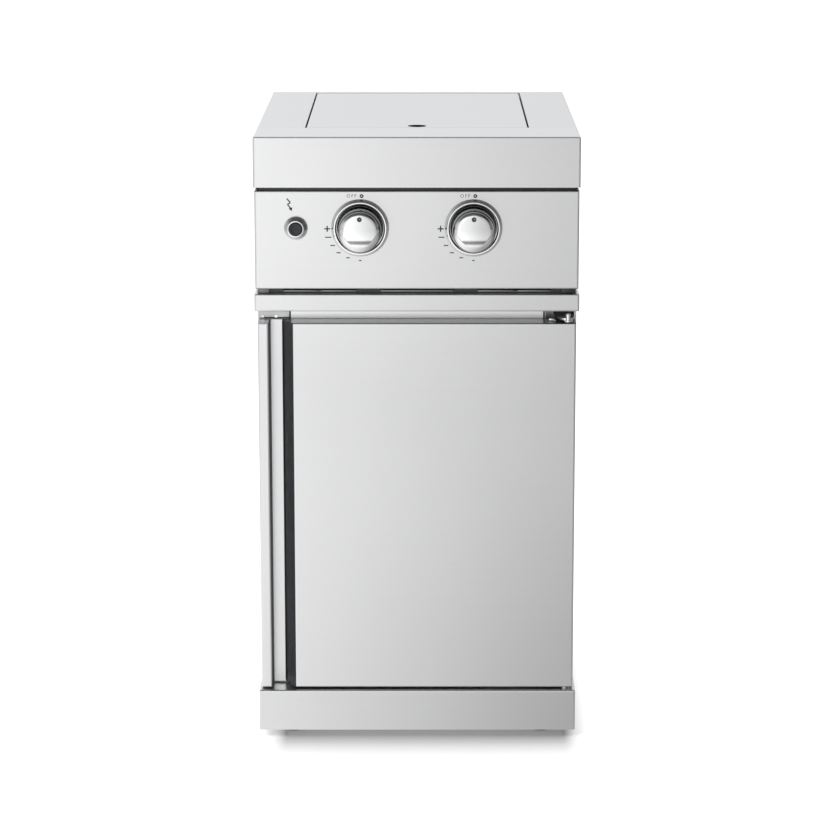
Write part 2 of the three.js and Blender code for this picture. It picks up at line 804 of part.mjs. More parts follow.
// Venturi tubes: from a valve's nozzle, under the pan, and up into a burner's neck
function venturi(x, y, startOfBend, endOfBend) {
  const at = (px, py, pz) => new THREE.Vector3(px, py, pz);
  const z = controlHeight;
  const top = panFloor + fit + burnerSocketDepth - fit;
  const elbowStart = y - venturiElbow;
  const middle = (startOfBend + endOfBend) / 2;
  const route = new THREE.CurvePath();
  route.add(new THREE.LineCurve3(at(x, frontY + venturiStart, z), at(x, startOfBend, z)));
  route.add(new THREE.CubicBezierCurve3(at(x, startOfBend, z), at(x, middle, z), at(0, middle, z),
    at(0, endOfBend, z)));
  route.add(new THREE.LineCurve3(at(0, endOfBend, z), at(0, elbowStart, z)));
  route.add(new THREE.QuadraticBezierCurve3(at(0, elbowStart, z), at(0, y, z), at(0, y, z + venturiElbow)));
  route.add(new THREE.LineCurve3(at(0, y, z + venturiElbow), at(0, y, top)));
  const section = new THREE.Shape(circle(0, 0, venturiRadius, tubeSides));
  section.holes.push(new THREE.Path(circle(0, 0, venturiRadius - venturiWall, tubeSides)));
  const steps = Math.round(route.getLength() / (venturiRadius * tubeStepShare));
  return solid(new THREE.ExtrudeGeometry(section, { steps, extrudePath: route }));
}

const frontElbowY = burnerYs.front - venturiElbow;
const rearElbowY = burnerYs.rear - venturiElbow;
const besideBurnerY = burnerYs.front + burnerBowlRadius + venturiRadius;
place('venturi_front', venturi(knobXs.right, burnerYs.front, frontY + venturiStart + venturiRun,
  frontElbowY - venturiRun), 'plated');
place('venturi_rear', venturi(knobXs.left, burnerYs.rear, besideBurnerY, rearElbowY - venturiRun), 'plated');

// Spark electrodes: a ceramic rod through the pan's floor with a thin tip beside the burner
const electrodeProfile = [
  [0, -sheet - electrodeBelow],
  [electrodeRadius, -sheet - electrodeBelow],
  [electrodeRadius, fit],
  [electrodeCollar, fit],
  [electrodeCollar, electrodeCollarHeight],
  [electrodeRadius, electrodeCollarHeight],
  [electrodeRadius, electrodeTop],
  [electrodeTipRadius, electrodeTop],
  [electrodeTipRadius, electrodeTop + electrodeTip],
  [0, electrodeTop + electrodeTip],
];

for (const [row, y] of Object.entries(burnerYs)) {
  place(`electrode_${row}`, turned('z', electrodeProfile, -electrodeOffset, y, panFloor, smallSides),
    'ceramic');
}

// Igniter: collar on the panel, button in it, and the module behind it
const collarRoundShare = 0.6;
const igniterCollar = loop([
  [buttonRadius + fit, -fit],
  [igniterRadius, -fit],
  [igniterRadius, -igniterShoulder],
  [igniterRingRadius + (igniterRadius - igniterRingRadius) * collarRoundShare, -igniterRing * collarRoundShare],
  [igniterRingRadius, -igniterRing],
  [buttonRadius + fit, -igniterRing],
]);
place('igniter_bezel', turned('y', igniterCollar, igniterX, frontY, controlHeight, castSides), 'polished');

const buttonProfile = [
  [0, buttonBack],
  [buttonRadius, buttonBack],
  [buttonRadius, buttonRound - buttonFace],
  [buttonRadius - buttonRound, -buttonFace],
  [0, -buttonFace],
];
place('igniter_button', turned('y', buttonProfile, igniterX, frontY, controlHeight, castSides),
  'blackPlastic');

const moduleFront = sheet + fit;
const moduleProfile = [
  [0, moduleFront + moduleWell],
  [buttonRadius + fit, moduleFront + moduleWell],
  [buttonRadius + fit, moduleFront],
  [moduleFlange, moduleFront],
  [moduleFlange, moduleFront + valveFlangeThickness],
  [moduleRadius, moduleFront + valveFlangeThickness],
  [moduleRadius, moduleFront + moduleLength],
  [0, moduleFront + moduleLength],
];
place('igniter_module', turned('y', moduleProfile, igniterX, frontY, controlHeight, castSides),
  'blackPlastic');

// Ignition leads: from the module's back to the foot of each electrode
function lead(y, offset) {
  const startY = frontY + moduleFront + moduleLength + fit;
  const z = panFloor - sheet - leadDrop;
  const startX = igniterX + offset;
  const endX = -electrodeOffset - electrodeRadius - fit;
  const wellSide = -wellHalf + offset;
  const route = new THREE.CatmullRomCurve3([
    new THREE.Vector3(startX, startY, controlHeight),
    new THREE.Vector3(startX, startY + venturiElbow, controlHeight + leadRadius),
    new THREE.Vector3(wellSide, wellFrontY + venturiElbow, z),
    new THREE.Vector3((wellSide - electrodeOffset) / 2 - leadSpread, (wellFrontY + y) / 2, z),
    new THREE.Vector3(endX - venturiElbow - leadSpread, y - leadSpread, z),
    new THREE.Vector3(endX - venturiElbow / 2, y, z),
    new THREE.Vector3(endX, y, z),
  ], false, 'centripetal');
  const section = new THREE.Shape(circle(0, 0, leadRadius, tubeSides));
  const steps = Math.round(route.getLength() / (leadRadius * leadStepShare));
  return solid(new THREE.ExtrudeGeometry(section, { steps, extrudePath: route }));
}

place('ignition_lead_front', lead(burnerYs.front, leadSpread), 'rubber');
place('ignition_lead_rear', lead(burnerYs.rear, -leadSpread), 'rubber');

// Gas valves: a flange behind the panel, the body, the nozzle and a saddle on the manifold
function gasValve(x) {
  const z = controlHeight;
  const flangeBackY = valveFrontY + valveFlangeThickness;
  const flange = block(x - valveFlange / 2, x + valveFlange / 2, valveFrontY, flangeBackY,
    z - valveFlange / 2, z + valveFlange / 2);
  const body = block(x - valveWidth / 2, x + valveWidth / 2, flangeBackY - sheet / 2, frontY + valveBack,
    z - valveHeight / 2, z + valveHeight / 2);
  const nozzle = prism('y', circle(x, z, nozzleRadius, smallSides), frontY + valveBack - sheet,
    frontY + valveBack + nozzleLength);
  const saddle = block(x - saddleWidth / 2, x + saddleWidth / 2, manifoldY - saddleWidth / 2,
    manifoldY + valveBack - manifoldBack, manifoldZ + manifoldRadius + fit, z);
  const boreBackY = frontY + stemBack + knobTravel + fit;
  const stemBore = prism('y', bore(x, z, stemRadius + fit), valveFrontY - overrun, boreBackY);
  return cut(join(flange, body, nozzle, saddle), stemBore);
}

// Stem and push collar turn and slide with the knob
const stemProfile = [
  [0, -stemFront],
  [stemRadius, -stemFront],
  [stemRadius, stemBack],
  [0, stemBack],
];
const collarBackY = knobBaseY + fit + collarLength;
const collarProfile = loop([
  [stemRadius + fit, knobBaseY + fit],
  [collarRadius, knobBaseY + fit],
  [collarRadius, collarBackY],
  [stemRadius + fit, collarBackY],
]);

for (const [name, x] of Object.entries(knobXs)) {
  place(`gas_valve_${name}`, gasValve(x), 'brass');
  place(`valve_stem_${name}`, turned('y', stemProfile, x, frontY, controlHeight, smallSides), 'brass');
  place(`push_collar_${name}`, turned('y', collarProfile, x, 0, controlHeight, smallSides), 'plated');
}

// Manifold under the valves, closed at its left end, and the inlet elbow at its right end
const manifold = prism('x', circle(manifoldY, manifoldZ, manifoldRadius, smallSides),
  -manifoldLeft, manifoldRight);
const manifoldBore = prism('x', bore(manifoldY, manifoldZ, manifoldRadius - manifoldWall),
  manifoldWall - manifoldLeft, manifoldRight + overrun);
place('manifold_pipe', cut(manifold, manifoldBore), 'plated');

const elbowLow = manifoldRight + fit;
const elbowAlong = prism('x', circle(manifoldY, manifoldZ, elbowRadius, smallSides), elbowLow,
  elbowLow + elbowLength);
const elbowBack = prism('y', circle(elbowX, manifoldZ, elbowRadius, smallSides),
  manifoldY, manifoldY + elbowReach);
const elbowAlongBore = prism('x', bore(manifoldY, manifoldZ, elbowBore),
  elbowLow - overrun, elbowX);
const elbowBackBore = prism('y', bore(elbowX, manifoldZ, elbowBore),
  manifoldY, manifoldY + elbowReach + overrun);
place('inlet_elbow', cut(join(elbowAlong, elbowBack), elbowAlongBore, elbowBackBore), 'brass');

// Knob bezels: a coned ring with a raised lip round a shallow well
const bezelProfile = loop([
  [bezelHole, -fit],
  [bezelRadius, -fit],
  [bezelRadius, -fit - bezelEdge],
  [bezelLipRadius + bezelEdge, bezelEdge - bezelLip],
  [bezelLipRadius, -bezelLip],
  [bezelLipRadius - bezelEdge, bezelEdge / 2 - bezelLip],
  [bezelWellRadius, -fit - sheet],
  [bezelHole, -fit - sheet],
]);

// Knobs: hollow castings with a tapered side, a rounded edge, a domed face and a dimple at OFF
function knob(x) {
  const faceY = knobFaceY + knobDome;
  const edge = [1, 2, 3].map((step) => {
    const angle = (Math.PI / 2) * (step / 3);
    const radius = knobFaceRadius - knobRound * (1 - Math.cos(angle));
    return [radius, faceY + knobRound * (1 - Math.sin(angle))];
  });
  const innerY = faceY + knobRound + knobWall;
  const innerRadius = knobFaceRadius - knobWall;
  const boreY = frontY - stemFront - fit;
  const profile = [
    [0, boreY],
    [stemRadius + fit, boreY],
    [stemRadius + fit, knobBaseY],
    [knobHubRadius, knobBaseY],
    [knobHubRadius, innerY],
    [innerRadius, innerY],
    [knobBaseRadius - knobWall, knobBaseY],
    [knobBaseRadius, knobBaseY],
    [knobFaceRadius, faceY + knobRound],
    ...edge,
    [(knobFaceRadius - knobRound) / 2, faceY - knobDome * (3 / 4)],
    [0, knobFaceY],
  ];
  const body = turned('y', profile, x, 0, controlHeight);
  const ball = new THREE.SphereGeometry(dimpleRadius, tubeSides, tubeSides / 2);
  ball.translate(x, faceY - dimpleLift, controlHeight + dimpleOffset);
  return cut(body, solid(ball));
}

for (const [name, x] of Object.entries(knobXs)) {
  place(`bezel_${name}`, turned('y', bezelProfile, x, frontY, controlHeight), 'polished');
  place(`knob_${name}`, knob(x), 'polished');
}

// Door: the skin with the pull's slanted wall, the pull profile and the inner panel
const doorHalf = halfWidth - doorInset;
const pullLeft = pullStrip - doorHalf;
const pullFloorLeft = pullLeft + pullDraft;
const pullFloorRight = pullFloorLeft + pullFloor;
const skinBackY = doorBackY - sheet - fit;
const slantEnd = pullFloorRight + pullSlit;
const skinFrontX = slantEnd + pullSlant;

// Keeps the door's long front edges rounded at its top and bottom.
function doorBounds() {
  return prism('x', panel(doorY, doorBottom, skinBackY, doorTop, [bend, 0, 0, bend]),
    -halfWidth, halfWidth);
}

function capped(path, body) {
  const low = prism('z', path, doorBottom, doorBottom + sheet);
  const high = prism('z', path, doorTop - sheet, doorTop);
  return join(body, low, high).intersect(doorBounds());
}

function doorSkin() {
  const slantRun = skinBackY - doorY - pullDepth;
  const slantBackX = slantEnd - slantRun * (pullSlant / pullDepth);
  const corners = [
    point(slantBackX, skinBackY),
    point(skinFrontX, doorY),
    point(doorHalf, doorY),
    point(doorHalf, skinBackY),
  ];
  const path = rounded(corners, [0, bend, bend, 0], false);
  const skin = capped(path, prism('z', folded(path, sheet), doorBottom, doorTop));
  const pivotHole = prism('z', bore(pivotX, pivotY, pivotRadius + fit), doorBottom - overrun,
    doorTop + overrun);
  return cut(skin, pivotHole);
}

function doorPull() {
  const floorY = doorY + pullDepth;
  const corners = [
    point(-doorHalf, skinBackY),
    point(-doorHalf, doorY),
    point(pullLeft, doorY),
    point(pullFloorLeft, floorY),
    point(pullFloorRight, floorY),
  ];
  const path = rounded(corners, [0, bend, bend, 0, 0], false);
  const boxed = [...path.slice(0, -1), point(pullFloorLeft, skinBackY)];
  return capped(boxed, prism('z', folded(path, sheet), doorBottom, doorTop));
}

place('door_skin', doorSkin(), 'brushed');
place('door_pull', doorPull(), 'brushed');
place('door_inner_panel', block(fit - doorHalf, doorHalf - fit, doorBackY - sheet, doorBackY,
  doorBottom + fit, doorTop - fit), 'brushed');

// Strike plate on the door's back and the magnet catch under the header
const catchX = catchInset - halfWidth;
const catchTop = frameTop - headerHeight - fit;
const strikeY = doorBackY + fit;
place('strike_plate', block(catchX - strikeWidth / 2, catchX + strikeWidth / 2, strikeY,
  strikeY + strikeThickness, catchTop - catchHeight / 2 - strikeHeight / 2,
  catchTop - catchHeight / 2 + strikeHeight / 2), 'plated');
place('magnet_catch', block(catchX - catchWidth / 2, catchX + catchWidth / 2,
  strikeY + strikeThickness + fit, strikeY + strikeThickness + fit + catchDepth,
  catchTop - catchHeight, catchTop), 'blackPlastic');

// Top hinge tongue: a fin that narrows to the pin, with a leg on the back wall of the stile
function hingeTongue() {
  const z0 = doorTop + tongueLift;
  const right = innerHalf - sheet - fit;
  const left = right - tongueWidth;
  const legY = frameFrontY + stileDepth - sheet - fit;
  const shoulderY = frameY - tongueTip / 2;
  const tipY = pivotY - tongueTip / 4;
  const fin = rounded([
    point(left, legY),
    point(left, shoulderY),
    point(pivotX - tongueTip, tipY),
    point(pivotX + tongueTip, tipY),
    point(right, shoulderY),
    point(right, legY),
  ], [0, 0, tongueTip, tongueTip, 0, 0], true);
  const plate = prism('z', fin, z0, z0 + tongueThickness);
  const leg = block(left, right, legY - sheet, legY, z0, z0 + tongueLeg);
  const pinHole = prism('z', bore(pivotX, pivotY, pivotRadius + fit), z0 - overrun,
    z0 + tongueThickness + overrun);
  return cut(join(plate, leg), pinHole);
}

place('hinge_bracket_top', hingeTongue(), 'plated');

const topPinProfile = [
  [0, doorTop - pivotInDoor],
  [pivotRadius, doorTop - pivotInDoor],
  [pivotRadius, doorTop + fit],
  [pivotCollar, doorTop + fit],
  [pivotCollar, doorTop + tongueLift - fit],
  [pivotRadius, doorTop + tongueLift - fit],
  [pivotRadius, doorTop + pivotAbove],
  [0, doorTop + pivotAbove],
];
const bottomPinProfile = [
  [0, plinthTop - pivotInPlinth],
  [pivotRadius, plinthTop - pivotInPlinth],
  [pivotRadius, plinthTop + fit],
  [pivotCollar, plinthTop + fit],
  [pivotCollar, doorBottom - fit],
  [pivotRadius, doorBottom - fit],
  [pivotRadius, doorBottom + pivotInDoor],
  [0, doorBottom + pivotInDoor],
];
place('hinge_pin_top', turned('z', topPinProfile, pivotX, pivotY, 0, smallSides), 'polished');
place('hinge_pin_bottom', turned('z', bottomPinProfile, pivotX, pivotY, 0, smallSides), 'polished');

export default island;
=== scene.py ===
# Looks of the outdoor kitchen island module: finishes for its sheet metal, and finer pieces for
# its knobs, controls, printed marks, screws, grates, burners and feet.
# Sizes and places on the object are millimetres in its own frame. The camera, lights, floor, card
# and the depth of bumps are metres.

import math

import bmesh
import bpy
from mathutils import Matrix, Vector


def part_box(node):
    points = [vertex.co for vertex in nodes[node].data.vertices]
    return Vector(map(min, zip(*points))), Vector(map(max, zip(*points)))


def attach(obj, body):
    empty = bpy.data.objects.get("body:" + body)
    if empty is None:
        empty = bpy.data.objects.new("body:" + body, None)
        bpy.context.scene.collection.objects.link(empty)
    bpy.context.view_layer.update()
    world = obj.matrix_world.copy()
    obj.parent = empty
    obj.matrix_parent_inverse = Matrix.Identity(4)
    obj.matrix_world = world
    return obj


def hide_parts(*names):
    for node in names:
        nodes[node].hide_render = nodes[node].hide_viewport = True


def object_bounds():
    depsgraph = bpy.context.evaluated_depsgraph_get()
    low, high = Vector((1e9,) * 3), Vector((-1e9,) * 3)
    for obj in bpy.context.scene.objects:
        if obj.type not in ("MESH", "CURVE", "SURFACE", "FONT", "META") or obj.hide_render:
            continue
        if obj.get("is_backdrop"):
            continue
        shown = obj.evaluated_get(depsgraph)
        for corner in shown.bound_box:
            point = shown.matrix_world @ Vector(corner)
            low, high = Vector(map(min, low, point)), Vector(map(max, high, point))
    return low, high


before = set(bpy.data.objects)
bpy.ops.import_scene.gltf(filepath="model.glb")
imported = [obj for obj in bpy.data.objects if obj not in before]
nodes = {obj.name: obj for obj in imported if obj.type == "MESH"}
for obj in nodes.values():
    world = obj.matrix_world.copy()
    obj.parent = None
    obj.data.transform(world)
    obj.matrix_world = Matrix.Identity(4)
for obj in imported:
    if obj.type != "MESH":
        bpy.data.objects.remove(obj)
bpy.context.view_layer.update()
scene = bpy.context.scene

MM = 0.001
UP = Vector((0, 0, 1))
TOWARDS_FRONT = Vector((0, -1, 0))
TOWARDS_BACK = Vector((0, 1, 0))
WHITE = (1, 1, 1, 1)
BLACK = (0, 0, 0, 1)

# Places that finishes and pieces share
FRONT = -275.0
BACK = 323.2
DOOR_BACK = -232.0
KNOB_X = {"left": -83.0, "right": 83.0}
CONTROL_Z = 780.5
IGNITER_X = -177.0
DIMPLE_UP = 19.5


# Camera
CAMERA_TILT = 11.991
camera_data = bpy.data.cameras.new("camera")
camera_data.lens = 129.16
camera_data.sensor_width = 36
camera_data.shift_x = -0.015
camera_data.shift_y = -0.03
camera = bpy.data.objects.new("camera", camera_data)
camera.location = (0.0140, -4.575, 1.4526)
camera.rotation_euler = (math.radians(90 - CAMERA_TILT), 0, 0)
scene.collection.objects.link(camera)
scene.camera = camera


# Shader helpers
MIX_FACTOR, MIX_FIRST, MIX_SECOND, MIX_COLOUR = 0, 6, 7, 2


def add(tree, kind, **values):
    node = tree.nodes.new(kind)
    for key, value in values.items():
        setattr(node, key, value)
    return node


def feed(tree, socket, value):
    """Links another socket to this one, or sets a plain value on it."""
    if isinstance(value, bpy.types.NodeSocket):
        tree.links.new(value, socket)
    else:
        socket.default_value = value


def math_node(tree, operation, first, second=0.0):
    node = add(tree, "ShaderNodeMath", operation=operation)
    feed(tree, node.inputs[0], first)
    feed(tree, node.inputs[1], second)
    return node.outputs[0]


def product(tree, first, second):
    return math_node(tree, "MULTIPLY", first, second)


def total(tree, first, second):
    return math_node(tree, "ADD", first, second)


def mean(tree, first, second, share):
    """Mean of two values, in which the first has the given share."""
    return total(tree, product(tree, first, share), product(tree, second, 1 - share))


def above(tree, value, limit):
    return math_node(tree, "GREATER_THAN", value, limit)


def below(tree, value, limit):
    return math_node(tree, "LESS_THAN", value, limit)


def between(tree, value, low, high):
    return product(tree, above(tree, value, low), below(tree, value, high))


def vector_node(tree, operation, first, second=(0, 0, 0)):
    node = add(tree, "ShaderNodeVectorMath", operation=operation)
    feed(tree, node.inputs[0], first)
    feed(tree, node.inputs[1], second)
    return node.outputs["Value" if operation == "LENGTH" else "Vector"]


def axes(tree, vector):
    split = add(tree, "ShaderNodeSeparateXYZ")
    feed(tree, split.inputs[0], vector)
    return split.outputs


def ramp(tree, factor, stops):
    node = add(tree, "ShaderNodeValToRGB")
    elements = node.color_ramp.elements
    while len(elements) < len(stops):
        elements.new(0.5)
    for element, (place, colour) in zip(elements, stops):
        element.position = place
        element.color = colour
    feed(tree, node.inputs["Fac"], factor)
    return node.outputs["Color"]


def grey(value, blue=0.006):
    return (value, value + blue / 3, value + blue, 1)


def levels(tree, factor, stops, blue=0.006):
    """A ramp of greys."""
    return ramp(tree, factor, [(place, grey(value, blue)) for place, value in stops])


def mapped(tree, factor, source, target, smooth=False):
    """The range source turned into the range target, level past both ends."""
    node = add(tree, "ShaderNodeMapRange", interpolation_type="SMOOTHSTEP" if smooth else "LINEAR")
    for label, value in zip(("From Min", "From Max", "To Min", "To Max"), (*source, *target)):
        node.inputs[label].default_value = value
    feed(tree, node.inputs["Value"], factor)
    return node.outputs["Result"]


def noise(tree, vector, scale, detail=3.0, roughness=0.55):
    node = add(tree, "ShaderNodeTexNoise")
    for label, value in (("Vector", vector), ("Scale", scale), ("Detail", detail), ("Roughness", roughness)):
        feed(tree, node.inputs[label], value)
    return node.outputs["Fac"]


def times(tree, colour, tint, mask=1.0):
    """A colour multiplied by a tint, where the mask is one."""
    mix = add(tree, "ShaderNodeMix", data_type="RGBA", blend_type="MULTIPLY")
    feed(tree, mix.inputs[MIX_FACTOR], mask)
    feed(tree, mix.inputs[MIX_FIRST], colour)
    feed(tree, mix.inputs[MIX_SECOND], tint)
    return mix.outputs[MIX_COLOUR]


def mixed(tree, factor, first, second):
    mix = add(tree, "ShaderNodeMix", data_type="RGBA")
    feed(tree, mix.inputs[MIX_FACTOR], factor)
    feed(tree, mix.inputs[MIX_FIRST], first)
    feed(tree, mix.inputs[MIX_SECOND], second)
    return mix.outputs[MIX_COLOUR]


def new_group(name, inputs, outputs):
    """A node group, and the sockets inside it that lead in and out."""
    group = bpy.data.node_groups.new(name, "ShaderNodeTree")
    for in_out, sockets in (("INPUT", inputs), ("OUTPUT", outputs)):
        for label, kind in sockets.items():
            group.interface.new_socket(label, in_out=in_out, socket_type=kind)
    return group, group.nodes.new("NodeGroupInput").outputs, group.nodes.new("NodeGroupOutput").inputs


# Grain: fine lines drawn out along one direction, and the faint smudges of handling
grain_group, grain_in, grain_out = new_group(
    "grain",
    {"Vector": "NodeSocketVector", "Stretch": "NodeSocketVector"},
    {"Lines": "NodeSocketFloat", "Smudges": "NodeSocketFloat"},
)
stretched = vector_node(grain_group, "MULTIPLY", grain_in["Vector"], grain_in["Stretch"])
fine = noise(grain_group, stretched, scale=1.0, detail=5.0, roughness=0.7)
broad = noise(grain_group, stretched, scale=0.22, detail=2.0)
feed(grain_group, grain_out["Lines"], mean(grain_group, fine, broad, share=0.65))
feed(grain_group, grain_out["Smudges"], noise(grain_group, grain_in["Vector"], scale=5.5, detail=4.0))

# Pits: the small dimples of a cast or moulded surface, with slow changes of tone
pits_group, pits_in, pits_out = new_group(
    "pits",
    {"Vector": "NodeSocketVector", "Size": "NodeSocketFloat"},
    {"Pits": "NodeSocketFloat", "Tone": "NodeSocketFloat"},
)
dimples = noise(pits_group, pits_in["Vector"], pits_in["Size"], detail=6.0, roughness=0.65)
feed(pits_group, pits_out["Pits"], dimples)
feed(pits_group, pits_out["Tone"], noise(pits_group, pits_in["Vector"], scale=14.0, detail=3.0))


# Materials
ALONG, ACROSS = 7, 900
GRAINS = {"x": (ALONG, ACROSS, ACROSS), "y": (ACROSS, ALONG, ACROSS), "z": (ACROSS, ACROSS, ALONG)}
STEEL_GLOSS_SPREAD = 0.05
STEEL_TONE_SPREAD = 0.010
SMUDGE_TONES = [(0.35, 0.985), (0.65, 1.0)]
CHROME_TONE_SPREAD = 0.012
RIPPLE_SIZE = 60
MATT = 0.95


def new_material(name, metallic):
    material = bpy.data.materials.new(name)
    material.use_nodes = True
    tree = material.node_tree
    shader = tree.nodes["Principled BSDF"]
    shader.inputs["Metallic"].default_value = metallic
    where = add(tree, "ShaderNodeTexCoord").outputs["Object"]
    return material, tree, shader, where


def bump(tree, shader, height, strength, distance):
    node = add(tree, "ShaderNodeBump")
    node.inputs["Strength"].default_value = strength
    node.inputs["Distance"].default_value = distance
    feed(tree, node.inputs["Height"], height)
    feed(tree, shader.inputs["Normal"], node.outputs["Normal"])


def steel(name, direction="x", tone=0.74, rough=0.30, shade=None, dulled=None):
    """Brushed stainless sheet. shade paints shade onto its colour by place, and dulled masks what is matt.
    """
    material, tree, shader, where = new_material(name, 1.0)
    grain = add(tree, "ShaderNodeGroup", node_tree=grain_group)
    grain.inputs["Stretch"].default_value = GRAINS[direction]
    feed(tree, grain.inputs["Vector"], where)
    lines, smudges = grain.outputs["Lines"], grain.outputs["Smudges"]
    tones = levels(tree, lines, [(0.30, tone - STEEL_TONE_SPREAD), (0.70, tone + STEEL_TONE_SPREAD)])
    colour = times(tree, tones, levels(tree, smudges, SMUDGE_TONES, blue=0.0))
    if shade is not None:
        colour = shade(tree, where, colour)
    feed(tree, shader.inputs["Base Color"], colour)
    uneven = mean(tree, lines, smudges, share=0.7)
    gloss = mapped(tree, uneven, (0, 1), (rough - STEEL_GLOSS_SPREAD, rough + STEEL_GLOSS_SPREAD))
    if dulled is not None:
        gloss = math_node(tree, "MAXIMUM", gloss, product(tree, dulled(tree, where), MATT))
    feed(tree, shader.inputs["Roughness"], gloss)
    bump(tree, shader, lines, strength=0.03, distance=0.0001)
    return material


def pitted_base(name, metallic, size):
    """A material with the pits group in it, and the group's two values."""
    material, tree, shader, where = new_material(name, metallic)
    pits = add(tree, "ShaderNodeGroup", node_tree=pits_group)
    pits.inputs["Size"].default_value = size
    feed(tree, pits.inputs["Vector"], where)
    return material, tree, shader, where, pits.outputs["Pits"], pits.outputs["Tone"]


def chrome(name, tone=0.82, rough=0.05, shade=None):
    """Polished plating with faint ripples and wiped smudges."""
    material, tree, shader, where, pits, slow = pitted_base(name, 1.0, RIPPLE_SIZE)
    tones = levels(tree, slow, [(0.3, tone - CHROME_TONE_SPREAD), (0.7, tone + CHROME_TONE_SPREAD)])
    if shade is not None:
        tones = shade(tree, where, tones)
    feed(tree, shader.inputs["Base Color"], tones)
    feed(tree, shader.inputs["Roughness"], mapped(tree, pits, (0, 1), (rough - 0.02, rough + 0.03)))
    bump(tree, shader, pits, strength=0.02, distance=0.0002)
    return material


def pitted(name, colours, rough, size, strength, metallic=0.0, coat=0.0):
    """Cast, moulded or glazed surface: two tones, uneven gloss and small dimples."""
    material, tree, shader, where, pits, slow = pitted_base(name, metallic, size)
    feed(tree, shader.inputs["Base Color"], ramp(tree, slow, [(0.32, colours[0]), (0.68, colours[1])]))
    feed(tree, shader.inputs["Roughness"], mapped(tree, pits, (0, 1), (rough - 0.08, rough + 0.1)))
    shader.inputs["Coat Weight"].default_value = coat
    bump(tree, shader, pits, strength, distance=0.0006)
    return material


# Painted shade: tints that darken the parts of a piece that lie in shadow and those that mirror dark
# surroundings
SLANT_X = -183.6
DOOR_TOP_Z = 636.2
HINGE_CORNER_X = 188.0
PULL_WALL_X = (-219.6, -217.0)
PULL_WALL_Y = (-266.4, -236.6)
FINGER_HOLE = (0, -141.5, 0)
FINGER_HOLE_REACH = 14.0
KNOB_EDGE_Y = (-318.0, -313.8)
LEVEL_Z = 0.6
RING_SPAN = 50
DIMPLE_SPAN = 10
SLANT_PAINTED_SHADE = grey(0.66, 0.05)
DOOR_TOP_PAINTED_SHADE = grey(0.32, 0.01)
HINGE_CORNER_PAINTED_SHADE = grey(0.30, 0.01)
FINGER_HOLE_PAINTED_SHADE = grey(0.05, 0.0)
PULL_WALL_PAINTED_SHADE = grey(0.26, 0.02)
TONGUE_PAINTED_SHADE = grey(0.22, 0.01)
KNOB_BODY_PAINTED_SHADE = grey(0.45, 0.06)
DIMPLE_PAINTED_SHADES = [(0.0, grey(0.35)), (2.0, grey(0.06)), (2.7, grey(0.20)), (3.0, WHITE)]
RIM_PAINTED_SHADES = [(28.0, 1.0), (29.4, 0.60), (30.2, 0.20), (31.4, 0.15)]
COLLAR_PAINTED_SHADES = [(12.4, 1.0), (12.9, 0.70), (18, 1.0)]
BEZEL_PAINTED_SHADES = [(36.0, 0.55), (36.3, 1.0), (38.8, 1.0), (39.2, 0.85), (41.8, 0.80), (42.0, 0.30)]


def reach(tree, where, place, across):
    """Distance from an axis through a place, measured across the axis."""
    offset = vector_node(tree, "SUBTRACT", where, Vector(place) * MM)
    return vector_node(tree, "LENGTH", vector_node(tree, "MULTIPLY", offset, across))


def around(tree, where, x, z, span, stops):
    """Colours by distance from an axis that runs front to back, out to a span."""
    share = product(tree, reach(tree, where, (x, 0, z), (1, 0, 1)), 1 / (span * MM))
    return ramp(tree, share, [(radius / span, colour) for radius, colour in stops])


def painted_shade_rings(x, stops):
    """Painted shade by distance from a control's axis."""
    tones = [(radius, grey(tone, 0.0)) for radius, tone in stops]

    def shade(tree, where, colour):
        return times(tree, colour, around(tree, where, x, CONTROL_Z, RING_SPAN, tones))
    return shade


def knob_painted_shade(x):
    """Painted shade: a dark body behind the bright rounded face, a dark dimple and a dark rim."""
    rim = painted_shade_rings(x, RIM_PAINTED_SHADES)

    def shade(tree, where, colour):
        edge = tuple(y * MM for y in KNOB_EDGE_Y)
        depth = mapped(tree, axes(tree, where)["Y"], edge, (0, 1), smooth=True)
        body = ramp(tree, depth, [(0, WHITE), (1, KNOB_BODY_PAINTED_SHADE)])
        dish = around(tree, where, x, CONTROL_Z + DIMPLE_UP, DIMPLE_SPAN, DIMPLE_PAINTED_SHADES)
        return rim(tree, where, times(tree, times(tree, colour, body), dish))
    return shade


def door_painted_shade(tree, where, colour):
    """Painted shade on the slanted wall of the finger pull and on the door's folded top, darkest by its
    hinge.
    """
    place = axes(tree, where)
    wall = below(tree, place["X"], SLANT_X * MM)
    top = above(tree, place["Z"], DOOR_TOP_Z * MM)
    by_hinge = product(tree, top, above(tree, place["X"], HINGE_CORNER_X * MM))
    for mask, tint in ((wall, SLANT_PAINTED_SHADE), (top, DOOR_TOP_PAINTED_SHADE), (by_hinge, HINGE_CORNER_PAINTED_SHADE)):
        colour = times(tree, colour, tint, mask)
    return colour


def lid_painted_shade(tree, where, colour):
    """Painted shade on the wall of the lid's finger hole."""
    hole = below(tree, reach(tree, where, FINGER_HOLE, (1, 1, 0)), FINGER_HOLE_REACH * MM)
    return times(tree, colour, FINGER_HOLE_PAINTED_SHADE, hole)


def pull_wall(tree, where):
    """Mask of the upright wall of the finger pull."""
    place = axes(tree, where)
    in_x = between(tree, place["X"], *(x * MM for x in PULL_WALL_X))
    in_y = between(tree, place["Y"], *(y * MM for y in PULL_WALL_Y))
    return product(tree, in_x, in_y)


# Painted shade on the upright wall of the finger pull
def pull_painted_shade(tree, where, colour):
    return times(tree, colour, PULL_WALL_PAINTED_SHADE, pull_wall(tree, where))


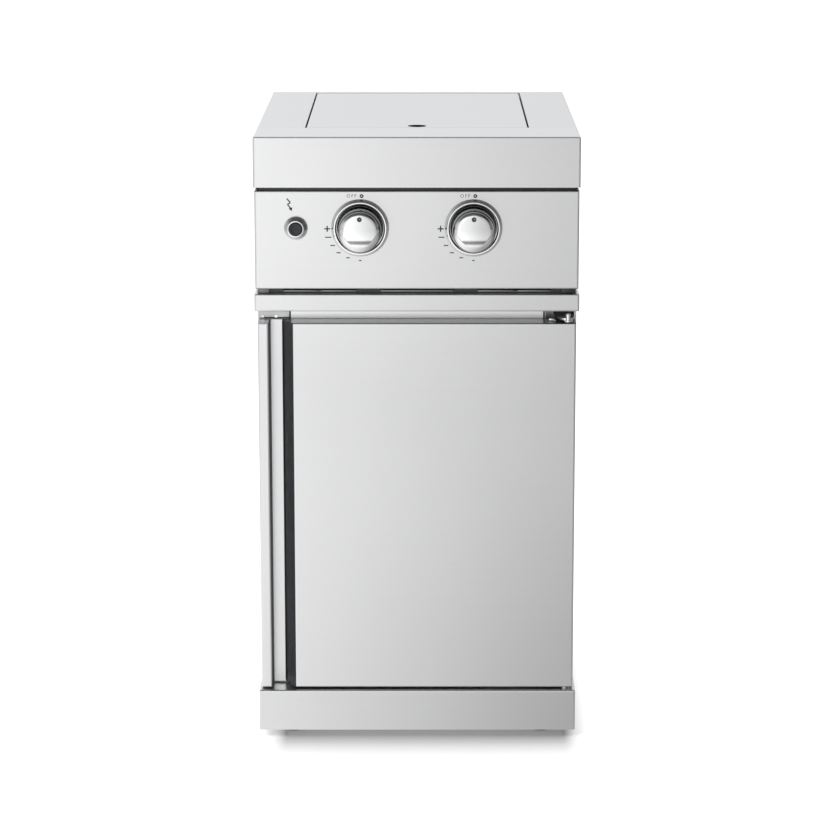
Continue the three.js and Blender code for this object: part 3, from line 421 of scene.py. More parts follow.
def facing_up(tree, where):
    """Mask of the faces that look up."""
    normal = add(tree, "ShaderNodeNewGeometry").outputs["Normal"]
    return above(tree, axes(tree, normal)["Z"], LEVEL_Z)


def tongue_painted_shade(tree, where, colour):
    """Painted shade on the level face of the hinge tongue, under the overhang, with its edges left bright.
    """
    return times(tree, colour, TONGUE_PAINTED_SHADE, facing_up(tree, where))


# Steel takes the direction of its grain, a tone and a roughness. A pitted finish takes two colours,
# a roughness, the fineness and strength of its pits, and how metallic and how coated it is
BRASS = ((0.60, 0.42, 0.17, 1), (0.70, 0.50, 0.22, 1))
CERAMIC = ((0.80, 0.78, 0.72, 1), (0.86, 0.84, 0.79, 1))
FINISH = {
    "steel_x": steel("stainless_along"),
    "steel_y": steel("stainless_deep", "y"),
    "steel_z": steel("stainless_upright", "z"),
    "steel_top": steel("stainless_top", "x", 0.76, 0.33),
    "lid": steel("stainless_lid", "x", 0.76, 0.33, lid_painted_shade),
    "door_skin": steel("stainless_door", "x", 0.765, 0.30, door_painted_shade),
    "door_pull": steel("stainless_pull", "z", 0.76, 0.30, pull_painted_shade, pull_wall),
    # The inside is a darker stainless, a painted shade for the cabinet's inside
    "inside": steel("stainless_inside_painted_shade", "x", 0.62, 0.36),
    # The header's light tone is painted light on it in its recess
    "header": steel("stainless_header_painted_light", "x", 0.98, 0.29),
    # The corner plate's darker tone is painted shade in its recess
    "corner_plate": steel("stainless_corner_plate_painted_shade", "x", 0.50, 0.26),
    # The tongue's light tone is a painted highlight on its edges
    "tongue": steel("stainless_tongue_painted_light_and_shade", "x", 0.90, 0.22, tongue_painted_shade, facing_up),
    # Vent, louvre and gap-end steel is darkened as painted shade in the vent gap
    "vent": steel("stainless_vent_painted_shade", "x", 0.07, 0.40),
    "louvre": steel("stainless_louvre_painted_shade", "x", 0.25, 0.35),
    "gap_end": steel("stainless_gap_end_painted_light_and_shade", "x", 0.19, 0.35),
    "plated": steel("zinc_plated", "z", 0.62, 0.34),
    "chrome": chrome("chrome"),
    "collar": chrome("collar_chrome_painted_shade", 0.82, 0.10, painted_shade_rings(IGNITER_X, COLLAR_PAINTED_SHADES)),
    "iron": pitted("cast_iron", (grey(0.018), grey(0.034)), 0.62, 900, 0.5, 0.1),
    "enamel": pitted("black_enamel", (grey(0.012), grey(0.02)), 0.30, 420, 0.15, 0.0, 0.3),
    "burner": pitted("burner_alloy", (grey(0.30), grey(0.38)), 0.52, 800, 0.4, 0.9),
    "brass": pitted("brass", BRASS, 0.30, 300, 0.05, 1.0),
    "ceramic": pitted("ceramic", CERAMIC, 0.28, 200, 0.04, 0.0, 0.4),
    "plastic": pitted("black_plastic", (grey(0.016), grey(0.024)), 0.38, 1400, 0.25),
    "print": pitted("print", (grey(0.055), grey(0.075)), 0.5, 900, 0.1),
    "rubber": pitted("rubber", (grey(0.014), grey(0.022)), 0.75, 1100, 0.4),
}
# Knob chrome is a little darker than the other chrome, a painted shade that dims the knobs' faces
for side, x in KNOB_X.items():
    FINISH[f"knob_{side}"] = chrome(f"knob_{side}_chrome", 0.78, 0.07, knob_painted_shade(x))
    FINISH[f"bezel_{side}"] = chrome(f"bezel_{side}_chrome", 0.84, 0.10, painted_shade_rings(x, BEZEL_PAINTED_SHADES))

NODES_OF = {
    "steel_x": "front_rail control_panel worktop_front back_panel plinth",
    "steel_y": "side_panel_left side_panel_right",
    "steel_z": "stile_left stile_right",
    "steel_top": "worktop_left worktop_right worktop_back",
    "lid": "lid",
    "door_skin": "door_skin",
    "door_pull": "door_pull",
    "inside": "cabinet_floor deck_shield burner_pan door_inner_panel",
    "header": "header",
    "corner_plate": "corner_plate_left",
    "tongue": "hinge_bracket_top",
    "vent": "vent_strip",
    "plated": "lid_pin_left lid_pin_right venturi_front venturi_rear push_collar_left push_collar_right "
              "manifold_pipe strike_plate",
    "chrome": "bezel_left bezel_right knob_left knob_right igniter_bezel hinge_pin_top hinge_pin_bottom",
    "iron": "grate_front grate_rear",
    "enamel": "burner_cap_front burner_cap_rear",
    "burner": "burner_front burner_rear",
    "brass": "gas_valve_left gas_valve_right valve_stem_left valve_stem_right inlet_elbow",
    "ceramic": "electrode_front electrode_rear",
    "plastic": "igniter_button igniter_module magnet_catch",
    "rubber": "ignition_lead_front ignition_lead_rear foot_front_left foot_front_right foot_rear_left "
              "foot_rear_right",
}
for finish, names in NODES_OF.items():
    for name in names.split():
        data = nodes[name].data
        data.materials.clear()
        data.materials.append(FINISH[finish])


# Mesh helpers
MERGE = 1e-4
SHARP = math.radians(35)
BEND_SEGMENTS = 5
EDGE_SEGMENTS = 2


def finished(bm, name, body, finish, replaced=()):
    """Makes a mesh of millimetres a piece that rides on a body."""
    bmesh.ops.remove_doubles(bm, verts=bm.verts, dist=MERGE)
    bmesh.ops.recalc_face_normals(bm, faces=bm.faces)
    mesh = bpy.data.meshes.new(name)
    bm.to_mesh(mesh)
    bm.free()
    mesh.transform(Matrix.Scale(MM, 4))
    mesh.materials.append(FINISH[finish])
    mesh.shade_smooth()
    mesh.set_sharp_from_angle(angle=SHARP)
    obj = bpy.data.objects.new(name, mesh)
    scene.collection.objects.link(obj)
    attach(obj, body)
    if replaced:
        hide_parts(*replaced)


def merge(target, source):
    mesh = bpy.data.meshes.new("part")
    source.to_mesh(mesh)
    source.free()
    target.from_mesh(mesh)
    bpy.data.meshes.remove(mesh)


def turn_to(axis):
    return UP.rotation_difference(Vector(axis)).to_matrix().to_4x4()


def corners(node):
    """Lowest and highest corner of a node, in millimetres."""
    low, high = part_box(node)
    return low / MM, high / MM


def underside(node):
    """The middle of a node's underside, in millimetres."""
    low, high = corners(node)
    return Vector(((low.x + high.x) / 2, (low.y + high.y) / 2, low.z))


def rounded(bm, geom, offset, segments, affect="EDGES"):
    bmesh.ops.bevel(bm, geom=geom, offset=offset, segments=segments, affect=affect, profile=0.5, material=-1)


def lathe(outline, base, axis=UP, steps=96, closed=False):
    """Spins an outline of (radius, height, rounding) about an axis that leaves base."""
    bm = bmesh.new()
    verts = [bm.verts.new((point[0], 0, point[1])) for point in outline]
    for first, second in zip(verts, verts[1:] + verts[:1] if closed else verts[1:]):
        bm.edges.new((first, second))
    bends = [(vertex, point[2]) for vertex, point in zip(verts, outline) if len(point) > 2]
    for size in sorted({size for _, size in bends}):
        rounded(bm, [vertex for vertex, own in bends if own == size], size, BEND_SEGMENTS, "VERTICES")
    bmesh.ops.spin(bm, geom=bm.verts[:] + bm.edges[:], cent=(0, 0, 0), axis=UP, angle=2 * math.pi,
                   steps=steps, use_merge=True)
    bmesh.ops.remove_doubles(bm, verts=bm.verts, dist=MERGE)
    bmesh.ops.transform(bm, matrix=Matrix.Translation(base) @ turn_to(axis), verts=bm.verts)
    return bm


def dome(radius, edge, crown, steps=8):
    """Outline points of a shallow dome, from its edge to its crown."""
    shares = [1 - k / steps for k in range(steps + 1)]
    return [(radius * share, edge + (crown - edge) * (1 - share ** 2)) for share in shares]


def block(centre, size, rounding, turn=0.0):
    bm = bmesh.new()
    matrix = Matrix.Translation(centre) @ Matrix.Rotation(turn, 4, "Y") @ Matrix.Diagonal((*size, 1))
    bmesh.ops.create_cube(bm, size=1, matrix=matrix)
    if rounding:
        rounded(bm, bm.edges[:], rounding, EDGE_SEGMENTS)
    return bm


def prism(sides, radius, depth, matrix):
    bm = bmesh.new()
    bmesh.ops.create_cone(bm, cap_ends=True, segments=sides, radius1=radius, radius2=radius, depth=depth,
                          matrix=matrix)
    return bm


# Knobs: tapered side, wide rounded edge, domed face, dimple at OFF, and the rim round the base
CONTROL_STEPS = 128
KNOB_OUTLINE = [
    (0, 34.0),
    (26.0, 34.0),
    (26.0, 6.3),
    (33.2, 6.3, 0.8),
    (33.0, 9.6, 1.0),
    (31.9, 10.4, 0.6),
    (31.1, 47.5, 8.4),
] + dome(21.5, 48.7, 50.0)
DIMPLE_OUT = 49.0
DIMPLE_PATCH = 5.5
DIMPLE_CUTS = 5
DIMPLE_RADIUS = 3.4
DIMPLE_DEPTH = 2.2
FACE_BACK_Y = FRONT - 45.0


def knob(side):
    name = f"knob_{side}"
    bm = lathe(KNOB_OUTLINE, (KNOB_X[side], FRONT, CONTROL_Z), TOWARDS_FRONT, CONTROL_STEPS)
    centre = Vector((KNOB_X[side], FRONT - DIMPLE_OUT, CONTROL_Z + DIMPLE_UP))
    patch = [face for face in bm.faces if (face.calc_center_median() - centre).length < DIMPLE_PATCH]
    edges = list(dict.fromkeys(edge for face in patch for edge in face.edges))
    bmesh.ops.subdivide_edges(bm, edges=edges, cuts=DIMPLE_CUTS, use_grid_fill=True)
    for vertex in bm.verts:
        away = math.hypot(vertex.co.x - centre.x, vertex.co.z - centre.z)
        if away < DIMPLE_RADIUS and vertex.co.y < FACE_BACK_Y:
            vertex.co.y += DIMPLE_DEPTH * (1 - (away / DIMPLE_RADIUS) ** 2) ** 0.5
    finished(bm, f"{name}_cap", name, name, (name,))


# Bezels: a coned ring with a raised lip round a well; painted shade darkens the well, the cone and its outer
# edge, and leaves the lip bright
BEZEL_OUTLINE = [
    (10.0, 0.3),
    (42.2, 0.3),
    (42.2, 1.3, 0.4),
    (39.3, 8.6, 0.4),
    (38.5, 9.6, 0.3),
    (36.3, 9.6, 0.4),
    (35.6, 1.8, 0.5),
    (10.0, 1.8),
]


def bezel(side):
    name = f"bezel_{side}"
    bm = lathe(BEZEL_OUTLINE, (KNOB_X[side], FRONT, CONTROL_Z), TOWARDS_FRONT, CONTROL_STEPS, closed=True)
    finished(bm, f"{name}_ring", "carcass", name, (name,))


for side in KNOB_X:
    knob(side)
    bezel(side)

# Igniter: rounded collar with a bright ring and painted shade on the collar just outside it, and a dished
# button with a nub in its middle
IGNITER = (IGNITER_X, FRONT, CONTROL_Z)
IGNITER_STEPS = 72
COLLAR_OUTLINE = [
    (9.9, 0.3),
    (17.5, 0.3),
    (17.5, 3.0, 1.4),
    (13.8, 10.6, 1.6),
    (12.4, 13.4, 0.6),
    (10.6, 14.0, 0.4),
    (9.9, 13.6, 0.2),
]
BUTTON_OUTLINE = [
    (0, -2),
    (9.3, -2),
    (9.3, 16.4, 1.0),
    (7.4, 16.4, 0.4),
    (5.6, 15.4, 1.0),
    (1.3, 15.1),
    (0.8, 15.6, 0.2),
    (0, 15.7),
]
collar = lathe(COLLAR_OUTLINE, IGNITER, TOWARDS_FRONT, IGNITER_STEPS, closed=True)
finished(collar, "igniter_collar", "carcass", "collar", ("igniter_bezel",))
button = lathe(BUTTON_OUTLINE, IGNITER, TOWARDS_FRONT, IGNITER_STEPS)
finished(button, "igniter_cap", "igniter_button", "plastic", ("igniter_button",))


# Printed marks, a film thick: places are from the middle of the control that they belong to
MARK = 0.2
MARK_WIDTH = 1.9
OFF_UP = 46.9
OFF_RING_X = 2.4
OFF_RING_RADIUS = 2.9
OFF_RING_HOLE = 0.9
OFF_WORD_X = -12.4
OFF_WORD_HEIGHT = 5.0
CAPITAL_SHARE = 0.7
PLUS = (-48.2, -1.4)
PLUS_ARM = 4.4
TICK_WIDTH = 1.6
TICKS = (
    (-46.9, -13.9, 9.0),
    (-40.3, -26.0, 6.8),
    (-31.8, -36.8, 6.0),
    (-17.9, -44.3, 5.2),
    (-0.1, -48.4, 3.6),
)
BOLT = [(-13.0, 43.2), (-7.6, 37.4), (-12.0, 34.6), (-6.4, 27.6)]
BOLT_TIP = (-7.0, 27.8)
BOLT_TIP_RADIUS = 3.4
BOLT_TIP_TURN = math.radians(-80)


def stroke(bm, x, start, end, width):
    """A straight mark between two points beside the control at x."""
    first, second = Vector(start), Vector(end)
    middle = (first + second) / 2
    along = second - first
    centre = (x + middle.x, FRONT, CONTROL_Z + middle.y)
    size = (along.length, MARK, width)
    merge(bm, block(centre, size, rounding=0, turn=-math.atan2(along.y, along.x)))


def ring(bm, centre, radius, hole, steps=32):
    outline = [(hole, -MARK / 2), (radius, -MARK / 2), (radius, MARK / 2), (hole, MARK / 2)]
    merge(bm, lathe(outline, centre, TOWARDS_FRONT, steps, closed=True))


def word(bm, text, centre, height):
    """A generic word as a thin mesh, standing upright on the panel."""
    curve = bpy.data.curves.new("word", "FONT")
    curve.body = text
    curve.size = height / CAPITAL_SHARE
    curve.extrude = MARK / 2
    curve.offset = -0.02
    curve.space_character = 1.3
    curve.align_x = "CENTER"
    curve.align_y = "CENTER"
    obj = bpy.data.objects.new("word", curve)
    scene.collection.objects.link(obj)
    mesh = bpy.data.meshes.new_from_object(obj.evaluated_get(bpy.context.evaluated_depsgraph_get()))
    mesh.transform(Matrix.Translation(centre) @ Matrix.Rotation(math.pi / 2, 4, "X"))
    bm.from_mesh(mesh)
    bpy.data.objects.remove(obj)
    bpy.data.curves.remove(curve)
    bpy.data.meshes.remove(mesh)


def dial_marks(side):
    x = KNOB_X[side]
    marks = bmesh.new()
    ring(marks, (x + OFF_RING_X, FRONT, CONTROL_Z + OFF_UP), OFF_RING_RADIUS, OFF_RING_HOLE)
    across, up = PLUS
    stroke(marks, x, (across - PLUS_ARM, up), (across + PLUS_ARM, up), MARK_WIDTH)
    stroke(marks, x, (across, up - PLUS_ARM), (across, up + PLUS_ARM), MARK_WIDTH)
    for across, up, length in TICKS:
        stroke(marks, x, (across - length / 2, up), (across + length / 2, up), TICK_WIDTH)
    finished(marks, f"dial_marks_{side}", "carcass", "print")
    letters = bmesh.new()
    word(letters, "OFF", (x + OFF_WORD_X, FRONT, CONTROL_Z + OFF_UP), OFF_WORD_HEIGHT)
    finished(letters, f"dial_word_{side}", "carcass", "print")


for side in KNOB_X:
    dial_marks(side)

spark = bmesh.new()
for first, second in zip(BOLT, BOLT[1:]):
    stroke(spark, IGNITER_X, first, second, MARK_WIDTH)
tip_matrix = (Matrix.Translation((IGNITER_X + BOLT_TIP[0], FRONT, CONTROL_Z + BOLT_TIP[1]))
              @ Matrix.Rotation(BOLT_TIP_TURN, 4, "Y") @ Matrix.Rotation(math.pi / 2, 4, "X"))
merge(spark, prism(3, BOLT_TIP_RADIUS, MARK, tip_matrix))
finished(spark, "spark_mark", "carcass", "print")


# Screws: rounded head with a sunken middle. Shares are of the head's height or radius
HEAD_SIDES = 24
HEAD_SEGMENTS = 4
HEAD_SEAT = 0.3
HEAD_ROUND_SHARE = 0.55
HEAD_RIM_SHARE = 0.12
HEAD_SINK_SHARE = 0.35
PLATE_SCREWS = [(-229.4, -229.5, 640.2), (-209.6, -229.5, 640.2)]
BACK_SCREWS = ([(x, BACK, z) for x in (-225, 225) for z in (96, 270, 450, 630, 812)]
               + [(x, BACK, z) for x in (-112, 112) for z in (90, 825)])
DOOR_SCREWS = ([(x, DOOR_BACK, z) for x in (-222, 205) for z in (90, 260, 440, 620)]
               + [(0, DOOR_BACK, z) for z in (90, 620)])


def highest_face(bm):
    return max(bm.faces, key=lambda face: face.calc_center_median().z)


def screw(bm, place, direction, radius, height):
    head = prism(HEAD_SIDES, radius, height, Matrix.Translation((0, 0, height / 2 - HEAD_SEAT)))
    rounded(head, highest_face(head).edges[:], height * HEAD_ROUND_SHARE, HEAD_SEGMENTS)
    top = highest_face(head)
    bmesh.ops.inset_individual(head, faces=[top], thickness=radius * HEAD_RIM_SHARE)
    middle = bmesh.ops.extrude_discrete_faces(head, faces=[top])["faces"][0]
    bmesh.ops.translate(head, vec=(0, 0, -height * HEAD_SINK_SHARE), verts=middle.verts)
    bmesh.ops.transform(head, matrix=Matrix.Translation(place) @ turn_to(direction), verts=head.verts)
    merge(bm, head)


def screws(name, places, direction, body, radius, height):
    bm = bmesh.new()
    for place in places:
        screw(bm, place, direction, radius, height)
    finished(bm, name, body, "chrome")


screws("corner_plate_screws", PLATE_SCREWS, TOWARDS_FRONT, "carcass", radius=2.7, height=1.2)
screws("back_panel_screws", BACK_SCREWS, TOWARDS_BACK, "carcass", radius=4.4, height=1.6)
screws("door_panel_screws", DOOR_SCREWS, TOWARDS_BACK, "door", radius=3.6, height=1.3)


# Grates: cast bars with rounded edges
GRATE_BAR = 9.0
GRATE_FINGER = 6.0
GRATE_FINGERS = 5
GRATE_ROUNDING = 1.6
GRATE_SEGMENTS = 3
CORNER_ANGLE = 0.8


def grate(row):
    name = f"grate_{row}"
    low, high = corners(name)
    gap = (high.x - low.x - 2 * GRATE_BAR - GRATE_FINGERS * GRATE_FINGER) / (GRATE_FINGERS + 1)
    across = [low.x, low.x + GRATE_BAR]
    for _ in range(GRATE_FINGERS):
        across += [across[-1] + gap, across[-1] + gap + GRATE_FINGER]
    across += [high.x - GRATE_BAR, high.x]
    middle = (low.y + high.y) / 2
    deep = [low.y, low.y + GRATE_BAR, middle - GRATE_FINGER / 2, middle + GRATE_FINGER / 2,
            high.y - GRATE_BAR, high.y]
    bm = bmesh.new()
    bmesh.ops.create_grid(bm, x_segments=len(across) - 1, y_segments=len(deep) - 1, size=1)
    columns = sorted({round(v.co.x, 4) for v in bm.verts})
    rows = sorted({round(v.co.y, 4) for v in bm.verts})
    holes = []
    for face in bm.faces:
        centre = face.calc_center_median()
        i = sum(1 for x in columns if x < centre.x) - 1
        j = sum(1 for y in rows if y < centre.y) - 1
        if i % 2 and j % 2:
            holes.append(face)
    for v in bm.verts:
        v.co = (across[columns.index(round(v.co.x, 4))], deep[rows.index(round(v.co.y, 4))], low.z)
    bmesh.ops.delete(bm, geom=holes, context="FACES")
    raised = bmesh.ops.extrude_face_region(bm, geom=bm.faces[:])["geom"]
    tops = [item for item in raised if isinstance(item, bmesh.types.BMVert)]
    bmesh.ops.translate(bm, vec=(0, 0, high.z - low.z), verts=tops)
    bmesh.ops.recalc_face_normals(bm, faces=bm.faces)
    edges = [e for e in bm.edges if len(e.link_faces) == 2 and e.calc_face_angle() > CORNER_ANGLE]
    rounded(bm, edges, GRATE_ROUNDING, GRATE_SEGMENTS)
    finished(bm, f"{name}_casting", "carcass", "iron", (name,))


# Burners: a cast bowl with flame ports cut in its rim, and a domed enamel cap
BURNER_OUTLINE = [
    (11.3, 0),
    (25, 0, 0.8),
    (25, 4, 0.8),
    (17, 8, 2),
    (17, 47, 5),
    (46, 59, 4),
    (46, 69),
    (42.5, 69),
    (38, 69),
    (38, 63, 3),
    (8, 51, 2),
    (8, 16.5),
    (11.3, 16.5),
]
BURNER_STEPS = 144
PORT_EVERY = 4
PORT_STEPS = (0, 1)
RIM_TOP = 68.9
PORT_RADIUS = 42
PORT_DEPTH = 2.6
CAP_OUTLINE = [
    (0, 66),
    (37.7, 66, 0.5),
    (37.7, 69.3),
    (42, 69.3, 0.5),
    (42, 77.6, 3.0),
    (36, 80.6, 1.5),
] + dome(30, 80.7, 81.0, 5)


def burner(row):
    base = underside(f"burner_{row}")
    bm = lathe(BURNER_OUTLINE, base, UP, BURNER_STEPS, closed=True)
    for vertex in bm.verts:
        x, y, z = vertex.co - base
        step = round(math.atan2(y, x) / (2 * math.pi) * BURNER_STEPS)
        if z > RIM_TOP and math.hypot(x, y) > PORT_RADIUS and step % PORT_EVERY in PORT_STEPS:
            vertex.co.z -= PORT_DEPTH
    finished(bm, f"burner_{row}_casting", "carcass", "burner", (f"burner_{row}",))
    cap = lathe(CAP_OUTLINE, base)
    finished(cap, f"burner_{row}_lid", "carcass", "enamel", (f"burner_cap_{row}",))


for row in ("front", "rear"):
    grate(row)
    burner(row)


# Levelling feet: rounded pad, hexagonal neck and a threaded stem
PAD_OUTLINE = [
    (0, 0),
    (19.4, 0, 0.6),
    (20.9, 1.8, 0.6),
    (20.9, 6.6, 1.2),
    (17.5, 8.4, 1.2),
    (9.5, 9.4),
    (0, 9.4),
]
STEM_FOOT = 9.0
STEM_TOP = 60.0
STEM_TOP_RADIUS = 3.8
THREAD_START = 24.0
THREAD_PITCH = 1.5
THREAD_FLANK = 0.6
THREAD_TURNS = 23
THREAD_ROOT = 4.2
THREAD_CREST = 4.9
NECK_SIDES = 6
NECK_RADIUS = 7.8
NECK_HEIGHT = 11
NECK_MIDDLE = 17.0
NECK_ROUNDING = 0.7


def foot(name):
    base = underside(name)
    bm = lathe(PAD_OUTLINE, base, steps=64)
    stem = [(0, STEM_FOOT), (THREAD_ROOT, STEM_FOOT)]
    for turn in range(THREAD_TURNS):
        start = THREAD_START + THREAD_PITCH * turn
        stem += [
            (THREAD_ROOT, start),
            (THREAD_CREST, start + THREAD_FLANK),
            (THREAD_ROOT, start + 2 * THREAD_FLANK),
        ]
    merge(bm, lathe(stem + [(STEM_TOP_RADIUS, STEM_TOP), (0, STEM_TOP)], base, steps=24))
    neck = prism(NECK_SIDES, NECK_RADIUS, NECK_HEIGHT, Matrix.Translation(base + UP * NECK_MIDDLE))
    level_edges = [e for e in neck.edges if abs(e.verts[0].co.z - e.verts[1].co.z) < MERGE]
    rounded(neck, level_edges, NECK_ROUNDING, EDGE_SEGMENTS)
    merge(bm, neck)
    finished(bm, f"{name}_assembly", name, "rubber", (name,))


for row in ("front", "rear"):
    for side in ("left", "right"):
        foot(f"foot_{row}_{side}")


# Hinge pins: polished, with a rounded head and a thin washer
HINGE_AXIS = (223.5, -257.0, 0)
PIN_RADIUS = 3.5
PIN_LOW_ROUNDING = 0.6
PIN_HEAD_ROUNDING = 0.9
WASHER_RADIUS = 7
WASHER_ROUNDING = 0.4


def pin(name, body, low, washer_low, washer_high, high):
    outline = [
        (0, low),
        (PIN_RADIUS, low, PIN_LOW_ROUNDING),
        (PIN_RADIUS, washer_low),
        (WASHER_RADIUS, washer_low, WASHER_ROUNDING),
        (WASHER_RADIUS, washer_high, WASHER_ROUNDING),
        (PIN_RADIUS, washer_high),
        (PIN_RADIUS, high, PIN_HEAD_ROUNDING),
        (0, high),
    ]
    shaft = lathe(outline, HINGE_AXIS, steps=48)
    finished(shaft, f"{name}_shaft", body, "chrome", (name,))


pin("hinge_pin_top", "door", low=612.0, washer_low=637.3, washer_high=639.7, high=649.5)
pin("hinge_pin_bottom", "carcass", low=65.8, washer_low=74.1, washer_high=76.2, high=101.5)

# Small folded tab on the door's top, by the hinge, raised at one end
TAB = Vector((200.5, -249.0, 638.1))
TAB_SIZE = (9.5, 5.0, 2.2)
TAB_LIFT = 1.8
tab = block(TAB, TAB_SIZE, rounding=0.3)
for corner in tab.verts:
    if corner.co.x < TAB.x and corner.co.z > TAB.z:
        corner.co.z += TAB_LIFT
finished(tab, "door_top_tab", "door", "chrome")


# Louvres of the vent strip with two slim bridges, and the folded ends of the gap. Their dark steel is
# painted shade in the gap; the left end is less dark, a painted light from the gap's open end
LOUVRES = ((-196.5, -148.2), (-141.8, -89.5), (-53.5, 53.5), (89.5, 141.8), (148.2, 196.5))
LOUVRE_Y, LOUVRE_Z = -259.8, 684.2
LOUVRE_DEPTH, LOUVRE_HEIGHT = 1.4, 2.4
BRIDGE_X = (-145.0, 145.0)
BRIDGE_Y, BRIDGE_Z = -259.6, 683.9
BRIDGE_SIZE = (7.6, 0.8, 0.9)
GAP_ENDS = (("left", -226.0, "gap_end"), ("right", 221.5, "vent"))
GAP_END_Y, GAP_END_Z = -262.6, 685.5
GAP_END_SIZE = (17.0, 7.0, 7.2)
louvres = bmesh.new()
for low, high in LOUVRES:
    place = ((low + high) / 2, LOUVRE_Y, LOUVRE_Z)
    merge(louvres, block(place, (high - low, LOUVRE_DEPTH, LOUVRE_HEIGHT), rounding=0.3))
for x in BRIDGE_X:
    merge(louvres, block((x, BRIDGE_Y, BRIDGE_Z), BRIDGE_SIZE, rounding=0.2))
finished(louvres, "vent_louvres", "carcass", "louvre")
for side, x, finish in GAP_ENDS:
    end = block((x, GAP_END_Y, GAP_END_Z), GAP_END_SIZE, rounding=0.5)
    finished(end, f"vent_gap_end_{side}", "carcass", finish)

# Folded lip on the control panel's top, seen in the gap under the worktop's front; its very dark steel is
# painted shade in that gap
LIP = (0, -267.2, 837.1)
LIP_SIZE = (464.0, 1.2, 4.6)
lip = block(LIP, LIP_SIZE, rounding=0.4)
finished(lip, "panel_top_lip", "carcass", "vent")

# Rubber edging round the hose hole in the back
HOSE_HOLE = (150.0, BACK, 130.0)
EDGING_OUTLINE = [(24.2, -2.6, 0.8), (28.6, -2.6, 0.8), (28.6, 1.6, 0.9), (24.2, 1.6, 0.9)]
edging = lathe(EDGING_OUTLINE, HOSE_HOLE, TOWARDS_BACK, steps=64, closed=True)
finished(edging, "hose_hole_edging", "carcass", "rubber")

# Black rubber strips that stand for the shadow in the joints of the door frame's corners, each a centre and
# a size
CORNER_SHADE_STRIPS = (
    ((-210.8, -229.4, 638.6), (44.0, 1.2, 1.7)),
    ((-188.9, -229.2, 646.5), (2.1, 2.0, 19.0)),
    ((188.9, -229.2, 646.5), (2.1, 2.0, 19.0)),
)
shade_strips = bmesh.new()
for centre, size in CORNER_SHADE_STRIPS:
    merge(shade_strips, block(centre, size, rounding=0.3))
finished(shade_strips, "corner_shade_strips", "carcass", "rubber")

# Black rubber strip that stands for the shadow in the slit between the pull's channel floor and the door
# skin
SLIT_X, SLIT_Y = -199.9, -235.8
SLIT_WIDTH, SLIT_DEPTH = 1.5, 1.0
SLIT_ENDS = 4.0
low, high = corners("door_pull")
slit_size = (SLIT_WIDTH, SLIT_DEPTH, high.z - low.z - SLIT_ENDS)
slit = block((SLIT_X, SLIT_Y, (low.z + high.z) / 2), slit_size, rounding=0.2)
finished(slit, "pull_slit_shade", "door", "rubber")


# Floor and card, in metres
FLOOR_HALF = 60
FOOT_X = (0.012, 0.207)
FOOT_Y = (0.025, 0.285)
SIDEWAYS_STRETCH = 4
SHADOW_SCALE = 5
GLEAM_START_Y = -0.27
GLEAM_START_WIDTH = 0.45
GLEAM_WIDENING = 0.1
CARD_HALF = 0.5
CARD_PLACE = (0.18, -1.9, 1.01)
CARD_SIZE = (2.26, 1, 1.78)


def plane(name, half, matrix, material):
    bm = bmesh.new()
    bmesh.ops.create_grid(bm, x_segments=1, y_segments=1, size=half, matrix=matrix)
    mesh = bpy.data.meshes.new(name)
    bm.to_mesh(mesh)
    bm.free()
    mesh.materials.append(material)
    obj = bpy.data.objects.new(name, mesh)
    scene.collection.objects.link(obj)
    return obj


def past_edge(tree, coordinate, centre, half):
    """How far a coordinate lies outside a band, given by its centre and half its width."""
    offset = math_node(tree, "ABSOLUTE", math_node(tree, "SUBTRACT", coordinate, centre))
    return math_node(tree, "MAXIMUM", math_node(tree, "SUBTRACT", offset, half), 0)


def floor_gleam(tree, place):
    """Brightness in reflections: more to the left and further off, less far out to both sides."""
    ahead = math_node(tree, "MAXIMUM", math_node(tree, "SUBTRACT", GLEAM_START_Y, place["Y"]), 0)
    width = total(tree, product(tree, ahead, GLEAM_WIDENING), GLEAM_START_WIDTH)
    fan = math_node(tree, "DIVIDE", place["X"], width)
    side_gleam = mapped(tree, fan, (-1.0, 1.0), (0.36, -0.36), smooth=True)
    far_gleam = mapped(tree, ahead, (0.0, 3.2), (0.76, 1.10), smooth=True)
    fall = mapped(tree, math_node(tree, "ABSOLUTE", place["X"]), (0.6, 3.0), (1.0, 0.55), smooth=True)
    return math_node(tree, "MAXIMUM", product(tree, total(tree, side_gleam, far_gleam), fall), 0)


def floor_finish():
    """White to the camera, and shaded close round the foot of the object."""
    material, tree, shader, where = new_material("floor", 0.0)
    shader.inputs["Roughness"].default_value = 0.8
    shader.inputs["Specular IOR Level"].default_value = 0.0
    shader.inputs["Emission Color"].default_value = WHITE
    place = axes(tree, where)
    past_x = product(tree, past_edge(tree, place["X"], *FOOT_X), SIDEWAYS_STRETCH)
    past_y = past_edge(tree, place["Y"], *FOOT_Y)
    squares = total(tree, product(tree, past_x, past_x), product(tree, past_y, past_y))
    away = product(tree, math_node(tree, "SQRT", squares), SHADOW_SCALE)
    shadow = [(0.07, 0.46), (0.20, 0.53), (0.42, 0.74), (0.55, 0.86)]
    glow = [(0.0, 0.17), (0.07, 0.10), (0.165, 0.22), (0.26, 0.33), (0.40, 0.42), (0.55, 0.46), (1.0, 0.80)]
    paths = add(tree, "ShaderNodeLightPath").outputs
    matte = mixed(tree, paths["Is Glossy Ray"], levels(tree, away, shadow), BLACK)
    feed(tree, shader.inputs["Base Color"], matte)
    seen = product(tree, paths["Is Camera Ray"], levels(tree, away, glow, blue=0))
    reflected = product(tree, paths["Is Glossy Ray"], floor_gleam(tree, place))
    feed(tree, shader.inputs["Emission Strength"], total(tree, seen, reflected))
    return material


